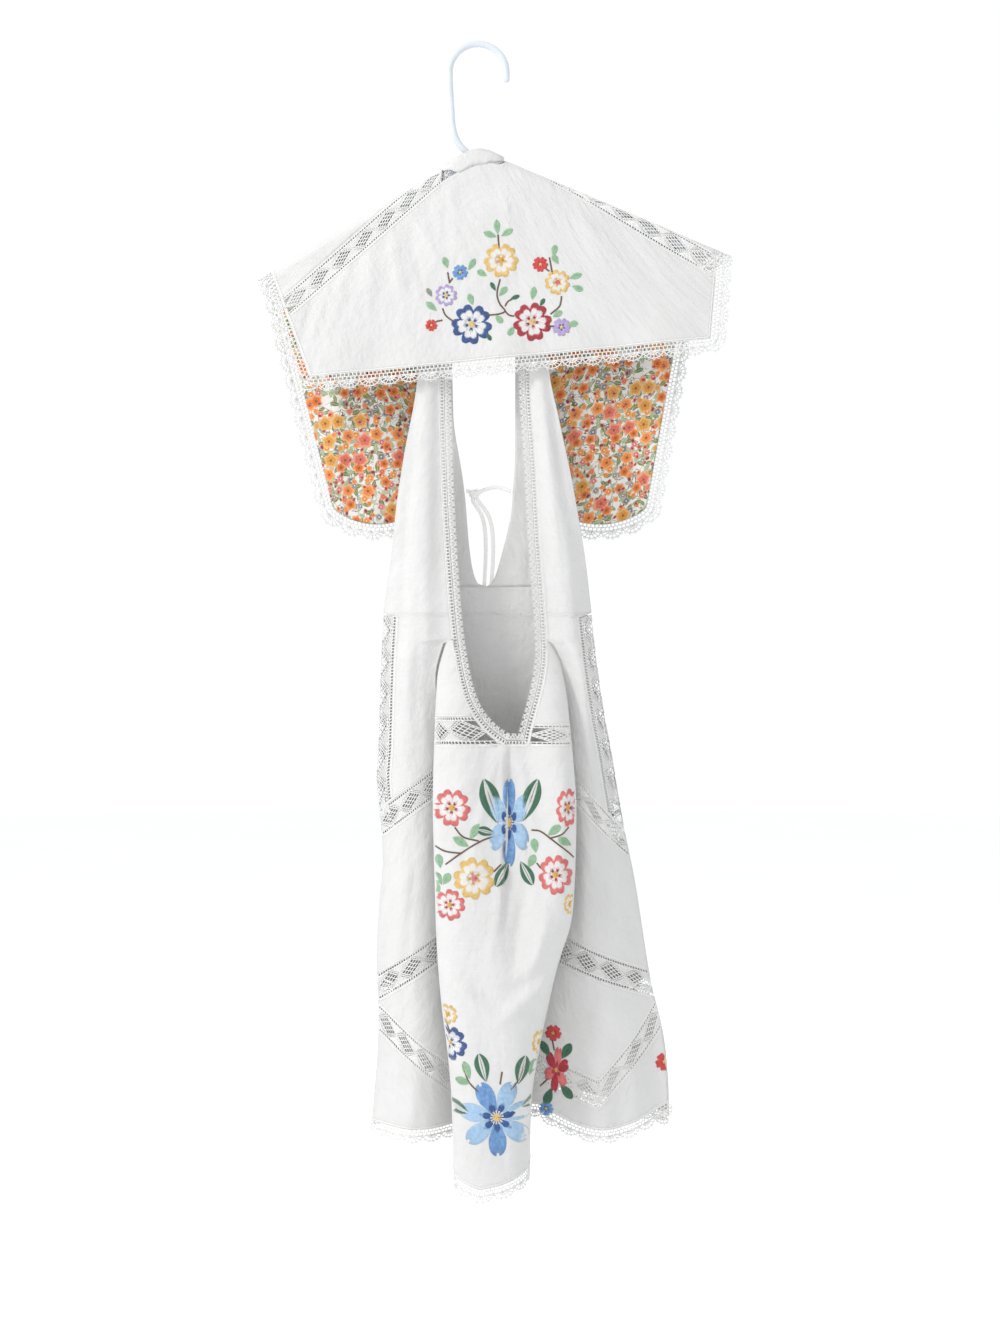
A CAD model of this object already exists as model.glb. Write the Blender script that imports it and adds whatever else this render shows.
"""Looks of the caped cotton dress on its hanger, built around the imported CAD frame.

Shapes are worked out in millimetres in the part's own frame: +Z up, -Y the front, the origin on the inside
of the hook's crown. They use the part's own formulas on a finer grid, and meshes are made in metres.
"""

import math

import bpy
import numpy as np
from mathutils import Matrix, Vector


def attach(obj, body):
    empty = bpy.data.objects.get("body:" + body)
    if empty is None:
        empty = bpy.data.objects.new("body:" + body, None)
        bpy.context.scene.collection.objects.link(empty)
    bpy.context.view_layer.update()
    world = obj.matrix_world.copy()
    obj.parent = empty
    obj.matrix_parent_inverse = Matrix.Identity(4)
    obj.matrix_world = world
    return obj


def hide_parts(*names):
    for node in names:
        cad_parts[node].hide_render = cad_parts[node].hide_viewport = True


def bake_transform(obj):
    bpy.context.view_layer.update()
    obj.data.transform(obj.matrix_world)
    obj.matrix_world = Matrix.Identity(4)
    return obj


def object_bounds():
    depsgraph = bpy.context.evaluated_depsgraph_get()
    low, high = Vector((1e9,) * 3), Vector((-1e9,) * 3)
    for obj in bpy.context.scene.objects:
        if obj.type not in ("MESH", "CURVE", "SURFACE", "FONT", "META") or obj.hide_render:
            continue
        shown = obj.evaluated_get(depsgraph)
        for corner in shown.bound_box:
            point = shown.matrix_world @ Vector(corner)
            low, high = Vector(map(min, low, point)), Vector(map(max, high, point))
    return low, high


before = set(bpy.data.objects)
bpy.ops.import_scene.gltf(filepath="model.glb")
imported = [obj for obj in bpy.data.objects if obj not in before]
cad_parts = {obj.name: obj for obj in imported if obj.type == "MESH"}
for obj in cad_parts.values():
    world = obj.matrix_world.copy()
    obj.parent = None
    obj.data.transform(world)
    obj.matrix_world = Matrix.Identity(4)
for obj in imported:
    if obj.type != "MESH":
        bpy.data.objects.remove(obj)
CAD_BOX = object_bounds()
MM = 0.001

# ------------------------------------------------------------------ driving dimensions, in millimetres
HOOK_BEND = 28.5
HOOK_TUBE = 7
NECK_Z = -117
ARM_TUBE = 9
BAR_TUBE = 8
ARM_LENGTH = 214
SLOPE_LEFT = math.radians(31)
SLOPE_RIGHT = math.radians(23)
HANG_TILT = math.radians(4)
TIP_BEND = 13
NECK_BEND = 12
NECK_X = 1

CLOTH = 0.6  # thickness of the cloth as it is shown
LAYER_GAP = 0.9  # from a flap's middle surface to its cloth and to its lining
STRAP_LOOP = 7.05  # radius of the straps' turn over the arms
CAPE_LOOP = 9.87  # radius of the cape's turn over them
QUARTER = math.pi / 2 * CAPE_LOOP
STRAP_QUARTER = math.pi / 2 * STRAP_LOOP
CAPE_LEFT = -206
CAPE_RIGHT = 238
NECK_LEFT = -36
NECK_RIGHT = 26
FOLD_STAND = 9
FLAP_FLARE = 0.085
FRONT_FLAP_DROP = 57
BACK_FLAP_DROP = 196
BACK_FLAP_TAPER = {-1: 0.228, 1: 0.192}  # how far each outer edge leans in, as a share of the drop
BACK_FLAP_ARCH = 23  # how far a back flap's bottom is rounded
LIFT_BLEND = 13  # the cloth bends over this length above and below a lift line
INSERTION = 24
EDGING = 16.5
NECKLINE_LACE = 11.5
HEM_LACE = 14

DRESS_LENGTH = 940
DRESS_CENTRE = 20
FRONT_DEPTH = 86
BACK_DEPTH = 52
SHOULDER_Z = -140
TIE = 4
TIE_FALL = 190

SLIM_SHARE = 0.8  # how square the front panel's section is


# ------------------------------------------------------------------ camera, made first
PICTURE_HEIGHT = 1333  # what the camera sees at the object's distance, 1000 wide
CAMERA_AWAY = 2300
SENSOR = 36
VIEW_OFFSET = (6, -54)  # from the box's centre to the middle of the view, across and up


def link(name, data):
    obj = bpy.data.objects.new(name, data)
    bpy.context.scene.collection.objects.link(obj)
    return obj


def make_camera():
    low, high = (np.array(corner) / MM for corner in CAD_BOX)
    middle = (low + high) / 2
    data = bpy.data.cameras.new("camera")
    data.sensor_fit = "VERTICAL"
    data.sensor_height = SENSOR
    data.lens = SENSOR * CAMERA_AWAY / PICTURE_HEIGHT
    camera = link("camera", data)
    camera.location = np.array((middle[0] + VIEW_OFFSET[0], -CAMERA_AWAY, middle[2] + VIEW_OFFSET[1])) * MM
    camera.rotation_euler = (math.pi / 2, 0, 0)
    bpy.context.scene.camera = camera


make_camera()


# ------------------------------------------------------------------ curves and outlines
def lerp(a, b, t):
    return a + (b - a) * t


def smooth(t):
    t = np.clip(t, 0, 1)
    return t * t * (3 - 2 * t)


def point(x, y, z):
    return np.stack(np.broadcast_arrays(x, y, z), -1).astype(float)


def unit(v):
    return v / np.maximum(np.linalg.norm(v, axis=-1, keepdims=True), 1e-9)


def run_along(places):
    """Distance along a path to each of its places."""
    return np.concatenate([[0], np.cumsum(np.linalg.norm(np.diff(places, axis=0), axis=1))])


def interpolated(at, run, values):
    """Rows of values known at run, worked out at other distances."""
    return np.stack([np.interp(at, run, column) for column in values.T], -1)


def through(pairs, at):
    """A smooth curve through (at, value) pairs in rising order, level beyond its ends."""
    a, v = np.array(pairs, float).T
    slope = np.empty(len(a))
    slope[1:-1] = (v[2:] - v[:-2]) / (a[2:] - a[:-2])
    slope[0] = (v[1] - v[0]) / (a[1] - a[0])
    slope[-1] = (v[-1] - v[-2]) / (a[-1] - a[-2])
    at = np.clip(np.asarray(at, float), a[0], a[-1])
    i = np.clip(np.searchsorted(a, at) - 1, 0, len(a) - 2)
    h = a[i + 1] - a[i]
    t = (at - a[i]) / h
    ends = v[i] * (1 + 2 * t) * (1 - t) ** 2 + v[i + 1] * t * t * (3 - 2 * t)
    return ends + h * (slope[i] * t * (1 - t) ** 2 + slope[i + 1] * t * t * (t - 1))


def creases(a, b, marks):
    """Height of soft folds, each (a0, b0, a1, b1, width, height) from one place to another."""
    total = 0
    for a0, b0, a1, b1, width, height in marks:
        long, tall = a1 - a0, b1 - b0
        run = np.clip(((a - a0) * long + (b - b0) * tall) / (long**2 + tall**2), 0, 1)
        away = np.hypot(a - lerp(a0, a1, run), b - lerp(b0, b1, run))
        fade = np.sin(math.pi * np.clip(run, 0.05, 0.95)) ** 0.6
        total = total + height * np.exp(-((away / width) ** 2)) * fade
    return total


def ridge(x):
    """Height of the arms' centreline."""
    away = np.hypot(x - NECK_X, NECK_BEND) - NECK_BEND
    return NECK_Z - away * np.tan(np.where(x < NECK_X, SLOPE_LEFT, SLOPE_RIGHT))


# ------------------------------------------------------------------ the cape's surface
# It is cut in (x, s): s is the distance over the arms, negative down the front, positive down the back.
FOLD_BELOW = (44.4, 23.6)  # from the arms down to the lift line, at the cape's left and right ends
FOLD_LEFT = float(ridge(np.float64(CAPE_LEFT))) - FOLD_BELOW[0]
FOLD_RIGHT = float(ridge(np.float64(CAPE_RIGHT))) - FOLD_BELOW[1]
DRAW_IN = {-1: (0.304, 0.25), 1: (0.086, 0.9)}  # how fast each end draws in, down the front and the back
DRAW_FROM = 6  # it starts this far from the top of the arm
INSERTION_START = {-1: -19.8, 1: 0.5}  # s of each insertion's lower edge at the neck

CAPE_CREASES = [
    (-88, -176, -74, -262, 6, 1.7),
    (-72, -172, -52, -250, 5, -1.3),
    (-62, -165, -36, -225, 5, 1.3),
    (-104, -196, -112, -290, 7, 1.5),
    (-130, -215, -150, -300, 7, 1.3),
    (-160, -245, -176, -300, 6, -1.2),
    (-30, -128, -20, -200, 6, 1.0),
    (22, -140, 40, -205, 7, 0.9),
    (98, -160, 130, -225, 8, 1.4),
    (120, -168, 190, -240, 9, -1.5),
    (150, -190, 205, -262, 8, 1.4),
    (60, -250, 120, -300, 10, 1.0),
    (-100, -305, -60, -322, 9, -1.2),
    (10, -300, 60, -316, 12, 0.9),
]
FLAP_CREASES = [
    (-110, -240, -125, -470, 12, 3.0),
    (-135, -260, -150, -460, 9, -2.2),
    (-70, -260, -88, -450, 9, -2.0),
    (105, -240, 118, -460, 10, -2.2),
    (140, -250, 150, -450, 12, 3.0),
    (165, -250, 172, -400, 8, -2.0),
]


def fold_line(x):
    return lerp(FOLD_LEFT, FOLD_RIGHT, (x - CAPE_LEFT) / (CAPE_RIGHT - CAPE_LEFT))


def cape_folds(x, s):
    """How far the cape's cloth stands out of its plain shape."""
    height = ridge(x) + QUARTER - np.abs(s)
    front = creases(x, height, CAPE_CREASES)
    low = smooth((fold_line(x) - height) / 60)
    front = front + low * (1.2 * np.sin(x / 13.0) + 1.1 * np.sin(x / 29.0 + 1.0))
    back = creases(x, height, FLAP_CREASES) + 0.8 * np.sin(x / 17.0 + height / 60.0)
    hang = smooth((np.abs(s) - QUARTER) / 25)
    return np.where(s < 0, front, back) * hang


def cape_point(x, s, lift=0.0):
    side = np.where(s < 0, -1, 1)
    radius = CAPE_LOOP + lift + cape_folds(x, s)
    turned = np.minimum(np.abs(s), QUARTER) / CAPE_LOOP
    drop = np.maximum(np.abs(s) - QUARTER, 0)
    to_fold = np.maximum(ridge(x) - fold_line(x), CAPE_LOOP)
    out = FOLD_STAND * smooth(drop / to_fold) + FLAP_FLARE * np.maximum(drop - to_fold, 0)
    return point(x, side * (radius * np.sin(turned) + out), ridge(x) + radius * np.cos(turned) - drop)


def front_s(x, z):
    return -(QUARTER + ridge(x) - z)


def back_s(x, z):
    return QUARTER + ridge(x) - z


def cape_far(side):
    return np.float64(CAPE_LEFT if side < 0 else CAPE_RIGHT)


def neck_end(side):
    return NECK_LEFT if side < 0 else NECK_RIGHT


def end_of(side):
    """x of the cape's end as a function of s."""
    front, back = DRAW_IN[side]

    def x_at(s):
        drawn = np.where(s < 0, front, back) * np.maximum(np.abs(s) - DRAW_FROM, 0)
        return cape_far(side) - side * drawn

    return x_at


def insertion_line(side):
    """s of an insertion's lower edge as a function of x, straight from the neck to the cape's end."""
    far = cape_far(side)
    from_x = neck_end(side)
    to_x = float(end_of(side)(front_s(far, fold_line(far))))
    to_s = float(front_s(np.float64(to_x), fold_line(to_x))) + 4
    return lambda x: lerp(INSERTION_START[side], to_s, (x - from_x) / (to_x - from_x))


INSERTION_LEFT = insertion_line(-1)
INSERTION_RIGHT = insertion_line(1)


def insertion_low(x):
    return np.where(x < NECK_X, INSERTION_LEFT(x), INSERTION_RIGHT(x))


def neck_seam(x):
    t = np.clip((x - NECK_LEFT) / (NECK_RIGHT - NECK_LEFT), 0, 1)
    return ridge(x) - 3 + 7 * t * t


def cape_front_at(u, v):
    """The cape's front, from its seams at the top to its bottom edge."""
    x = lerp(CAPE_LEFT, CAPE_RIGHT, u)
    for _ in range(4):
        across = smooth((x - NECK_LEFT) / (NECK_RIGHT - NECK_LEFT))
        left = INSERTION_LEFT(np.minimum(x, NECK_LEFT))
        sewn = lerp(left, INSERTION_RIGHT(np.maximum(x, NECK_RIGHT)), across)
        in_neck = smooth((x - NECK_LEFT + 2) / 2) * smooth((NECK_RIGHT + 2 - x) / 2)
        cut = (front_s(x, neck_seam(x)) - sewn) * in_neck
        low = front_s(x, fold_line(x) - FRONT_FLAP_DROP)
        s = lerp(sewn, low, v) + cut * (1 - v) ** 8
        x = lerp(end_of(-1)(s), end_of(1)(s), u)
    return cape_point(x, s)


def cape_insertion_at(side):
    def at(u, v):
        off = INSERTION * v
        x = lerp(neck_end(side), end_of(side)(insertion_low(cape_far(side)) + off), u)
        return cape_point(x, insertion_low(x) + off)

    return at


def back_inner(side):
    return NECK_X + (-51 if side < 0 else 64)


def back_outer(side):
    far = cape_far(side)
    return float(end_of(side)(back_s(far, fold_line(far))))


def flap_bottom(side, u):
    """The bottom of a back flap, from its outer corner (u 0) to its inner one, as x and z."""
    outer = back_outer(side) - side * BACK_FLAP_TAPER[side] * BACK_FLAP_DROP
    inner = back_inner(side) - side * 6
    low = fold_line(back_outer(-1)) - BACK_FLAP_DROP
    arch = np.sin(math.pi * np.clip(u, 0, 1)) ** 0.7
    return lerp(outer, inner, u), lerp(low + 17, low + 28, u) - BACK_FLAP_ARCH * arch


def flap_xs(side, u, v):
    """Where a back flap's cloth is, as x and s: u from its inner edge out, v from its lift line down."""
    top = lerp(back_inner(side), back_outer(side), u)
    low_x, low_z = flap_bottom(side, 1 - u)
    x = lerp(top, low_x, v)
    return x, back_s(x, lerp(fold_line(top), low_z, v))


def shoulder_xs(side, u, v):
    """The shoulder's cloth, as x and s: v from the insertion's upper edge to the lift line at the back."""
    start = neck_end(side)
    end = end_of(side)
    x0 = lerp(start, end(insertion_low(cape_far(side)) + INSERTION), u)
    x1 = lerp(back_inner(side), back_outer(side), u)
    s = lerp(insertion_low(x0) + INSERTION, back_s(x1, fold_line(x1)), v)
    return lerp(lerp(start, back_inner(side), v), end(s), u), s


SHOULDER_SHARE = 0.36  # share of the rows that lie above the lift line


def back_cloth_at(side):
    def at(u, v):
        upper = shoulder_xs(side, u, v / SHOULDER_SHARE)
        lower = flap_xs(side, u, (v - SHOULDER_SHARE) / (1 - SHOULDER_SHARE))
        x, s = (np.where(v < SHOULDER_SHARE, a, b) for a, b in zip(upper, lower))
        below = smooth((v - SHOULDER_SHARE + 0.15) / 0.15)
        return cape_point(x, s, LAYER_GAP * below)

    return at


def lining_at(side):
    def at(u, v):
        x, s = flap_xs(side, u, lerp(-0.09, 1, v))
        return cape_point(x, s, -LAYER_GAP)

    return at


def neck_band_at(u, v):
    middle = (NECK_LEFT + NECK_RIGHT) / 2
    half = (NECK_RIGHT - NECK_LEFT) / 2 - 0.5
    a = 2 * math.pi * u
    x = middle + half * np.sign(np.cos(a)) * np.abs(np.cos(a)) ** 0.6
    y = (CAPE_LOOP + 0.4) * np.sin(a)
    over = np.sqrt(np.maximum(CAPE_LOOP**2 - y * y, 0))
    at_seam = smooth((np.abs(np.sin(a)) - 0.8) / 0.15)
    low = ridge(x) + over + at_seam * (neck_seam(x) - ridge(x)) - 1.5
    high = ridge(x) + CAPE_LOOP + 3.5 + 0.5 * np.sin(3 * a)
    return point(x, y * lerp(1, 0.88, v), lerp(np.minimum(low, high - 3), high, v))


# ------------------------------------------------------------------ the dress's surfaces
def level(z):
    """0 at the shoulder, 1 at the side hem's cloth."""
    return (SHOULDER_Z - z) / DRESS_LENGTH


def z_at(share):
    return SHOULDER_Z - share * DRESS_LENGTH


def outline(pairs):
    return lambda z: DRESS_CENTRE + through(pairs, level(z))


def depth_by(pairs, depth):
    return lambda z: depth * through(pairs, level(z))


left_side = outline([
    (0.0, -82), (0.2, -80), (0.29, -94), (0.34, -101), (0.39, -106), (0.46, -115), (0.6, -120),
    (0.63, -121.5), (0.71, -115), (0.77, -119), (0.82, -121), (0.9, -119.5), (0.97, -124), (1.0, -127),
])
right_side = outline([
    (0.0, 56), (0.19, 50.5), (0.25, 61), (0.31, 73), (0.39, 86), (0.44, 92), (0.5, 98), (0.56, 106),
    (0.6, 113), (0.67, 124), (0.74, 137), (0.84, 152), (0.9, 165), (0.95, 170), (1.0, 171),
])
front_left = outline([
    (0.46, -46), (0.488, -53), (0.514, -59), (0.54, -61), (0.6, -63), (0.65, -64), (0.74, -62),
    (0.8, -60), (0.86, -55.5), (0.91, -49.5), (0.96, -45.5), (1.04, -43.5),
])
front_right = outline([
    (0.46, 46), (0.481, 51), (0.502, 60), (0.535, 67), (0.562, 70), (0.62, 75), (0.66, 77), (0.74, 75),
    (0.78, 71), (0.82, 59), (0.86, 50), (0.91, 40), (0.96, 33), (1.04, 31),
])
neck_left = outline([
    (0.0, -58), (0.2, -58), (0.32, -55), (0.39, -51.5), (0.455, -47), (0.495, -42.5), (0.54, -33),
    (0.563, -22), (0.58, -8), (0.5915, 7),
])
neck_right = outline([
    (0.0, 33), (0.2, 31.5), (0.3, 37), (0.38, 41), (0.46, 46.5), (0.5, 47.5), (0.525, 44.5),
    (0.545, 40), (0.57, 33.5), (0.5915, 29),
])
scoop_left = outline([
    (0.0, -45), (0.24, -45), (0.305, -36), (0.33, -33), (0.39, -28), (0.42, -21), (0.424, -12),
])
scoop_right = outline([(0.0, 17), (0.29, 17), (0.32, 15), (0.35, 12.5), (0.4, 1), (0.42, -6), (0.424, -12)])

seam_stand = depth_by([(0.44, 0.21), (0.55, 0.16), (0.8, 0.13), (1.05, 0.11)], FRONT_DEPTH)
front_stand = depth_by([
    (0.482, 0.24), (0.51, 0.36), (0.55, 0.52), (0.64, 0.7), (0.75, 0.84), (0.86, 0.93), (1.05, 1.0),
], FRONT_DEPTH)
side_bulge = depth_by([(0.1, 0.01), (0.25, 0.05), (0.45, 0.12), (0.75, 0.22), (1.05, 0.3)], FRONT_DEPTH)


def strap_stand(z):
    return STRAP_LOOP + through([(0.02, 0), (0.12, 4.2), (0.21, 6.6), (0.34, 8.8), (0.45, 10.8)], level(z))


def side_stand(z):
    near = STRAP_LOOP * through([(0.02, 1), (0.36, 1.5), (0.44, 0.1), (0.45, 0.09)], level(z))
    return near + through([(0.02, 0), (0.12, 4), (0.21, 5.5), (0.34, 2), (0.44, 0)], level(z))


def back_stand(z):
    upper = strap_stand(np.maximum(z, z_at(0.45)))
    return upper + BACK_DEPTH * through([(0.45, 0), (0.65, 0.3), (0.85, 0.55), (1.05, 0.7)], level(z))


def seam_turn(z):
    return np.radians(through([(0.482, 78), (0.52, 98), (0.57, 120), (0.65, 130)], level(z)))


def power(value, exponent):
    return np.sign(value) * np.abs(value) ** exponent


SIDE_CREASES = [
    (-46, -345, -52, -600, 7, 2.2),
    (-62, -330, -80, -640, 7, -2.4),
    (-78, -420, -92, -700, 8, 2.6),
    (-58, -560, -62, -720, 6, -2.0),
    (-80, -740, -70, -900, 9, 2.4),
    (-62, -800, -78, -1000, 6, -2.4),
    (-92, -820, -88, -1080, 7, -2.4),
    (-60, -1010, -70, -1100, 8, 2.6),
    (62, -345, 84, -560, 7, 2.2),
    (70, -330, 98, -520, 6, -2.4),
    (86, -440, 108, -700, 8, 2.6),
    (98, -600, 104, -730, 6, -1.8),
    (112, -730, 128, -900, 9, -2.6),
    (134, -800, 160, -960, 8, 2.6),
    (106, -780, 104, -930, 6, 2.2),
    (150, -960, 158, -1090, 9, 3.2),
    (120, -1030, 128, -1090, 9, 2.6),
    (174, -980, 182, -1090, 7, -2.6),
]


def side_folds(x, z):
    hang = smooth((ridge(x) - z) / 90)
    hem = smooth((level(z) - 0.75) / 0.25)
    wave = 0.7 * np.sin(x / 9.0 + z / 130.0) + hem * 1.6 * np.sin(x / 8.5 + 0.4)
    return hang * (creases(x, z, SIDE_CREASES) + wave)


BACK_TOP = 0.53  # level at which the back starts to hang in folds


def back_folds(x, z):
    hang = smooth((level(z) - BACK_TOP) / 0.35)
    return hang * (4.2 * np.sin(x / 13.5 + z / 260.0) + 2.4 * np.sin(x / 7.3 - z / 190.0 + 1.1))


PLEAT_X = 28.5
FRONT_CREASES = [
    (18, -705, -8, -800, 6, 2.4),
    (10, -720, -22, -840, 6, -1.8),
    (38, -700, 58, -790, 5, 1.8),
    (44, -760, 66, -850, 6, -1.6),
    (26, -800, 14, -905, 6, 2.0),
    (50, -820, 30, -930, 7, -3.0),
    (72, -850, 46, -935, 6, 2.4),
    (-28, -905, 24, -944, 8, -3.2),
    (24, -944, 66, -912, 8, -3.2),
    (-26, -925, 20, -962, 7, 3.0),
    (20, -962, 62, -932, 7, 3.0),
    (-30, -985, 10, -1010, 8, -1.6),
    (-18, -1040, -12, -1110, 6, 1.6),
    (18, -1030, 26, -1110, 6, -1.6),
    (-44, -700, -40, -860, 6, 1.4),
    (84, -720, 80, -840, 5, 1.4),
]


def pleat(x, z):
    """The left half of the front panel laps over the right in a pleat below the neckline."""
    share = through([(0.585, 0.0), (0.605, 0.8), (0.63, 1), (0.7, 1), (0.76, 0.5), (0.82, 0)], level(z))
    away = x - PLEAT_X + 4 * smooth((level(z) - 0.6) / 0.2)
    lap = 3.2 * np.exp(np.minimum(away, 0) / 18)
    sunk = -3.6 * np.exp(-np.maximum(away, 0) / 11)
    return share * lerp(lap, sunk, smooth((away + 0.8) / 1.6))


def front_c(turn, z):
    """The front panel's section is a C, open at the back: turn is 0 in front, +-seam_turn at its seams."""
    left = front_left(z)
    right = front_right(z)
    back = seam_stand(z)
    behind = -power(np.cos(seam_turn(z)), SLIM_SHARE)
    depth = (front_stand(z) - back) / (1 + behind)
    x = (left + right) / 2 + (right - left) / 2 * power(np.sin(turn), SLIM_SHARE)
    share = through([(0.5, 0.3), (0.62, 1), (0.76, 0.8), (0.84, 0.1), (0.9, 0)], level(z))
    hollow = 0.18 * FRONT_DEPTH * share * np.exp(-(((turn - 0.14) / 0.45) ** 2))
    facing = smooth((np.cos(turn) + 0.1) / 0.5)
    folds = facing * (creases(x, z, FRONT_CREASES) + pleat(x, z) + 0.6 * np.sin(x / 7.0 + z / 45.0))
    stand = back + depth * behind + depth * power(np.cos(turn), SLIM_SHARE) - hollow + folds
    return point(x, -stand, z)


def turn_at(x, z):
    middle = (front_left(z) + front_right(z)) / 2
    half = (front_right(z) - front_left(z)) / 2
    return np.arcsin(np.clip(power((x - middle) / half, 1 / SLIM_SHARE), -1, 1))


def on_front(x, z):
    return front_c(turn_at(x, z), z)


BODICE_TOP = z_at(0.482)
SEAM_CLEAR = 2.4


def side_inner(side, z):
    neck = neck_left(z) if side < 0 else neck_right(z)
    seam = front_c(side * seam_turn(z), z)[..., 0] + side * SEAM_CLEAR
    return lerp(neck, seam, np.clip((BODICE_TOP - z) / 3, 0, 1))


def side_outer(side, z):
    return left_side(z) if side < 0 else right_side(z)


def over_arm(x, z, front):
    """Cloth lying over the arm: z counts on above the arm's centreline, round the arm to its top."""
    a = (STRAP_QUARTER - np.clip(z - ridge(x), 0, STRAP_QUARTER)) / STRAP_LOOP
    stand = np.maximum(STRAP_LOOP * np.sin(a), 0.3)
    return point(x, -stand if front else stand, ridge(x) + STRAP_LOOP * np.cos(a))


def over_top(x, z, hanging, front):
    return np.where((z > ridge(x))[..., None], over_arm(x, z, front), hanging)


def side_point(side, x, z):
    outer = side_outer(side, z)
    inner = side_inner(side, z)
    t = np.clip((x - outer) / (inner - outer), 0, 1)
    at = lerp(strap_stand(z), seam_stand(z), np.clip((BODICE_TOP - z) / 20, 0, 1))
    swell = side_bulge(z) * np.sin(math.pi * t) ** 1.5
    folds = side_folds(x, z) * np.sin(math.pi * np.clip(t, 0.04, 0.96)) ** 0.5
    hanging = point(x, -(lerp(side_stand(z), at, t) + swell + folds), z)
    return over_top(x, z, hanging, True)


def back_point(x, z):
    t = np.clip((x - left_side(z)) / (right_side(z) - left_side(z)), 0, 1)
    bow = np.sin(math.pi * t)
    y = lerp(side_stand(z), back_stand(z), bow**0.7) + back_folds(x, z) * np.clip(bow * 2.5, 0, 1)
    upper = lerp(strap_stand(z), y, np.clip((level(z) - 0.05) / 0.25, 0, 1))
    return over_top(x, z, point(x, np.where(level(z) < 0.3, upper, y), z), False)


BAND = INSERTION * 1.1
UPPER_BAND = {-1: (0.662, 0.612), 1: (0.684, 0.61)}
LOWER_BAND = {-1: (0.837, 0.787), 1: (0.833, 0.79)}
GUSSET_EDGE = 3


def upper_band(side):
    return lambda u: z_at(lerp(*UPPER_BAND[side], u))


def lower_band(side):
    return lambda u: z_at(lerp(*LOWER_BAND[side], u))


def chevron(side):
    start = lower_band(side)(0) - BAND - GUSSET_EDGE
    if side < 0:
        return lambda u: lerp(start, z_at(0.936), u)
    return lambda u: np.where(
        u < 0.5, lerp(start, z_at(0.945), u * 2), lerp(z_at(0.945), z_at(0.915), u * 2 - 1)
    )


def side_hem(side):
    if side < 0:
        return lambda u: z_at(0.992 + 0.004 * np.sin(math.pi * u))
    return lambda u: z_at(0.972 + 0.024 * np.sin(math.pi * np.clip(u * 1.1, 0, 1)))


def below(edge, height):
    return lambda u: edge(u) - height


def side_piece_at(side, top, low):
    def at(u, v):
        z = lerp(top(u), low(u), v)
        return side_point(side, lerp(side_outer(side, z), side_inner(side, z), u), z)

    return at


SIDE_LACE_TOP = z_at(0.455)
SIDE_LACE_FRONT = 14
SIDE_LACE_BACK = INSERTION - SIDE_LACE_FRONT


LACE_START = 2.5  # height over which the panels narrow to make room for the side laces
STRAP_SHARE = 0.7  # share of a strap panel's rows above its side lace


def lace_share(z):
    return np.clip((SIDE_LACE_TOP + LACE_START - z) / LACE_START, 0, 1)


def shoulder_top(x):
    return ridge(x) + STRAP_QUARTER


def strap_panel_at(side):
    """A side's front panel with its strap, from the top of the arm to the upper band."""
    top = upper_band(side)

    def panel_x(z, u):
        narrowed = SIDE_LACE_FRONT * lace_share(z) * (1 - u) ** 3
        return lerp(side_outer(side, z), side_inner(side, z), u) - side * narrowed

    def at(u, v):
        z = np.full(np.shape(u), SHOULDER_Z, float)
        outer = side_outer(side, top(u))
        low = top((panel_x(top(u), u) - outer) / (side_inner(side, top(u)) - outer))
        for _ in range(4):
            x = lerp(side_outer(side, z), side_inner(side, z), u)
            above = lerp(shoulder_top(x), SIDE_LACE_TOP + LACE_START, v / STRAP_SHARE)
            beside = lerp(SIDE_LACE_TOP, low, (v - STRAP_SHARE) / (1 - STRAP_SHARE))
            z = np.where(v < STRAP_SHARE + 1e-6, above, beside)
        return side_point(side, panel_x(z, u), z)

    return at


def side_lace_at(side):
    top = upper_band(side)

    def at(u, v):
        c = lerp(SIDE_LACE_FRONT, -SIDE_LACE_BACK, u)
        width = np.abs(side_inner(side, top(0.0)) - side_outer(side, top(0.0)))
        share = np.abs(c) / (right_side(top(0.0)) - left_side(top(0.0)))
        behind = np.maximum(top(0.0), back_upper(share if side < 0 else 1 - share))
        z = lerp(SIDE_LACE_TOP, np.where(c > 0, top(c / width), behind), v)
        outer = side_outer(side, z)
        x = outer - side * np.abs(c)
        near = (np.abs(c) / 3)[..., None]
        there = np.where((c > 0)[..., None], side_point(side, x, z), back_point(x, z))
        return np.where(near < 1, lerp(point(outer, 0, z), there, near), there)

    return at


# ------------------------------------------------------------------ the front panel's pieces
BUST_TOP = {-1: z_at(0.562), 1: z_at(0.571)}
BUST_LOW = z_at(0.5915)


def neck_turn(side, z):
    return turn_at(neck_left(z) if side < 0 else neck_right(z), z)


def bodice_at(side, top, low):
    def at(u, v):
        z = lerp(top, low, v) + 0 * u
        return front_c(lerp(side * seam_turn(z), neck_turn(side, z), u), z)

    return at


def front_hem(u):
    tip = 0.45
    return z_at(np.where(u < tip, lerp(1.024, 1.046, u / tip), lerp(1.046, 1.014, (u - tip) / (1 - tip))))


def front_panel_at(u, v):
    z = lerp(BUST_LOW, front_hem(u), v)
    return front_c(lerp(-seam_turn(z), seam_turn(z), u), z)


# ------------------------------------------------------------------ the back's pieces
SCOOP_LOW = z_at(0.4242)


def zigzag(high, low, u):
    return z_at(lerp(high, low, np.abs((u * 4 + 1) % 2 - 1)))


def back_upper(u):
    return zigzag(0.662, 0.712, u)


def back_lower(u):
    return zigzag(0.837, 0.887, u)


def back_hem(u):
    return z_at(0.985 - 0.02 * np.sin(math.pi * u))


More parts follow.
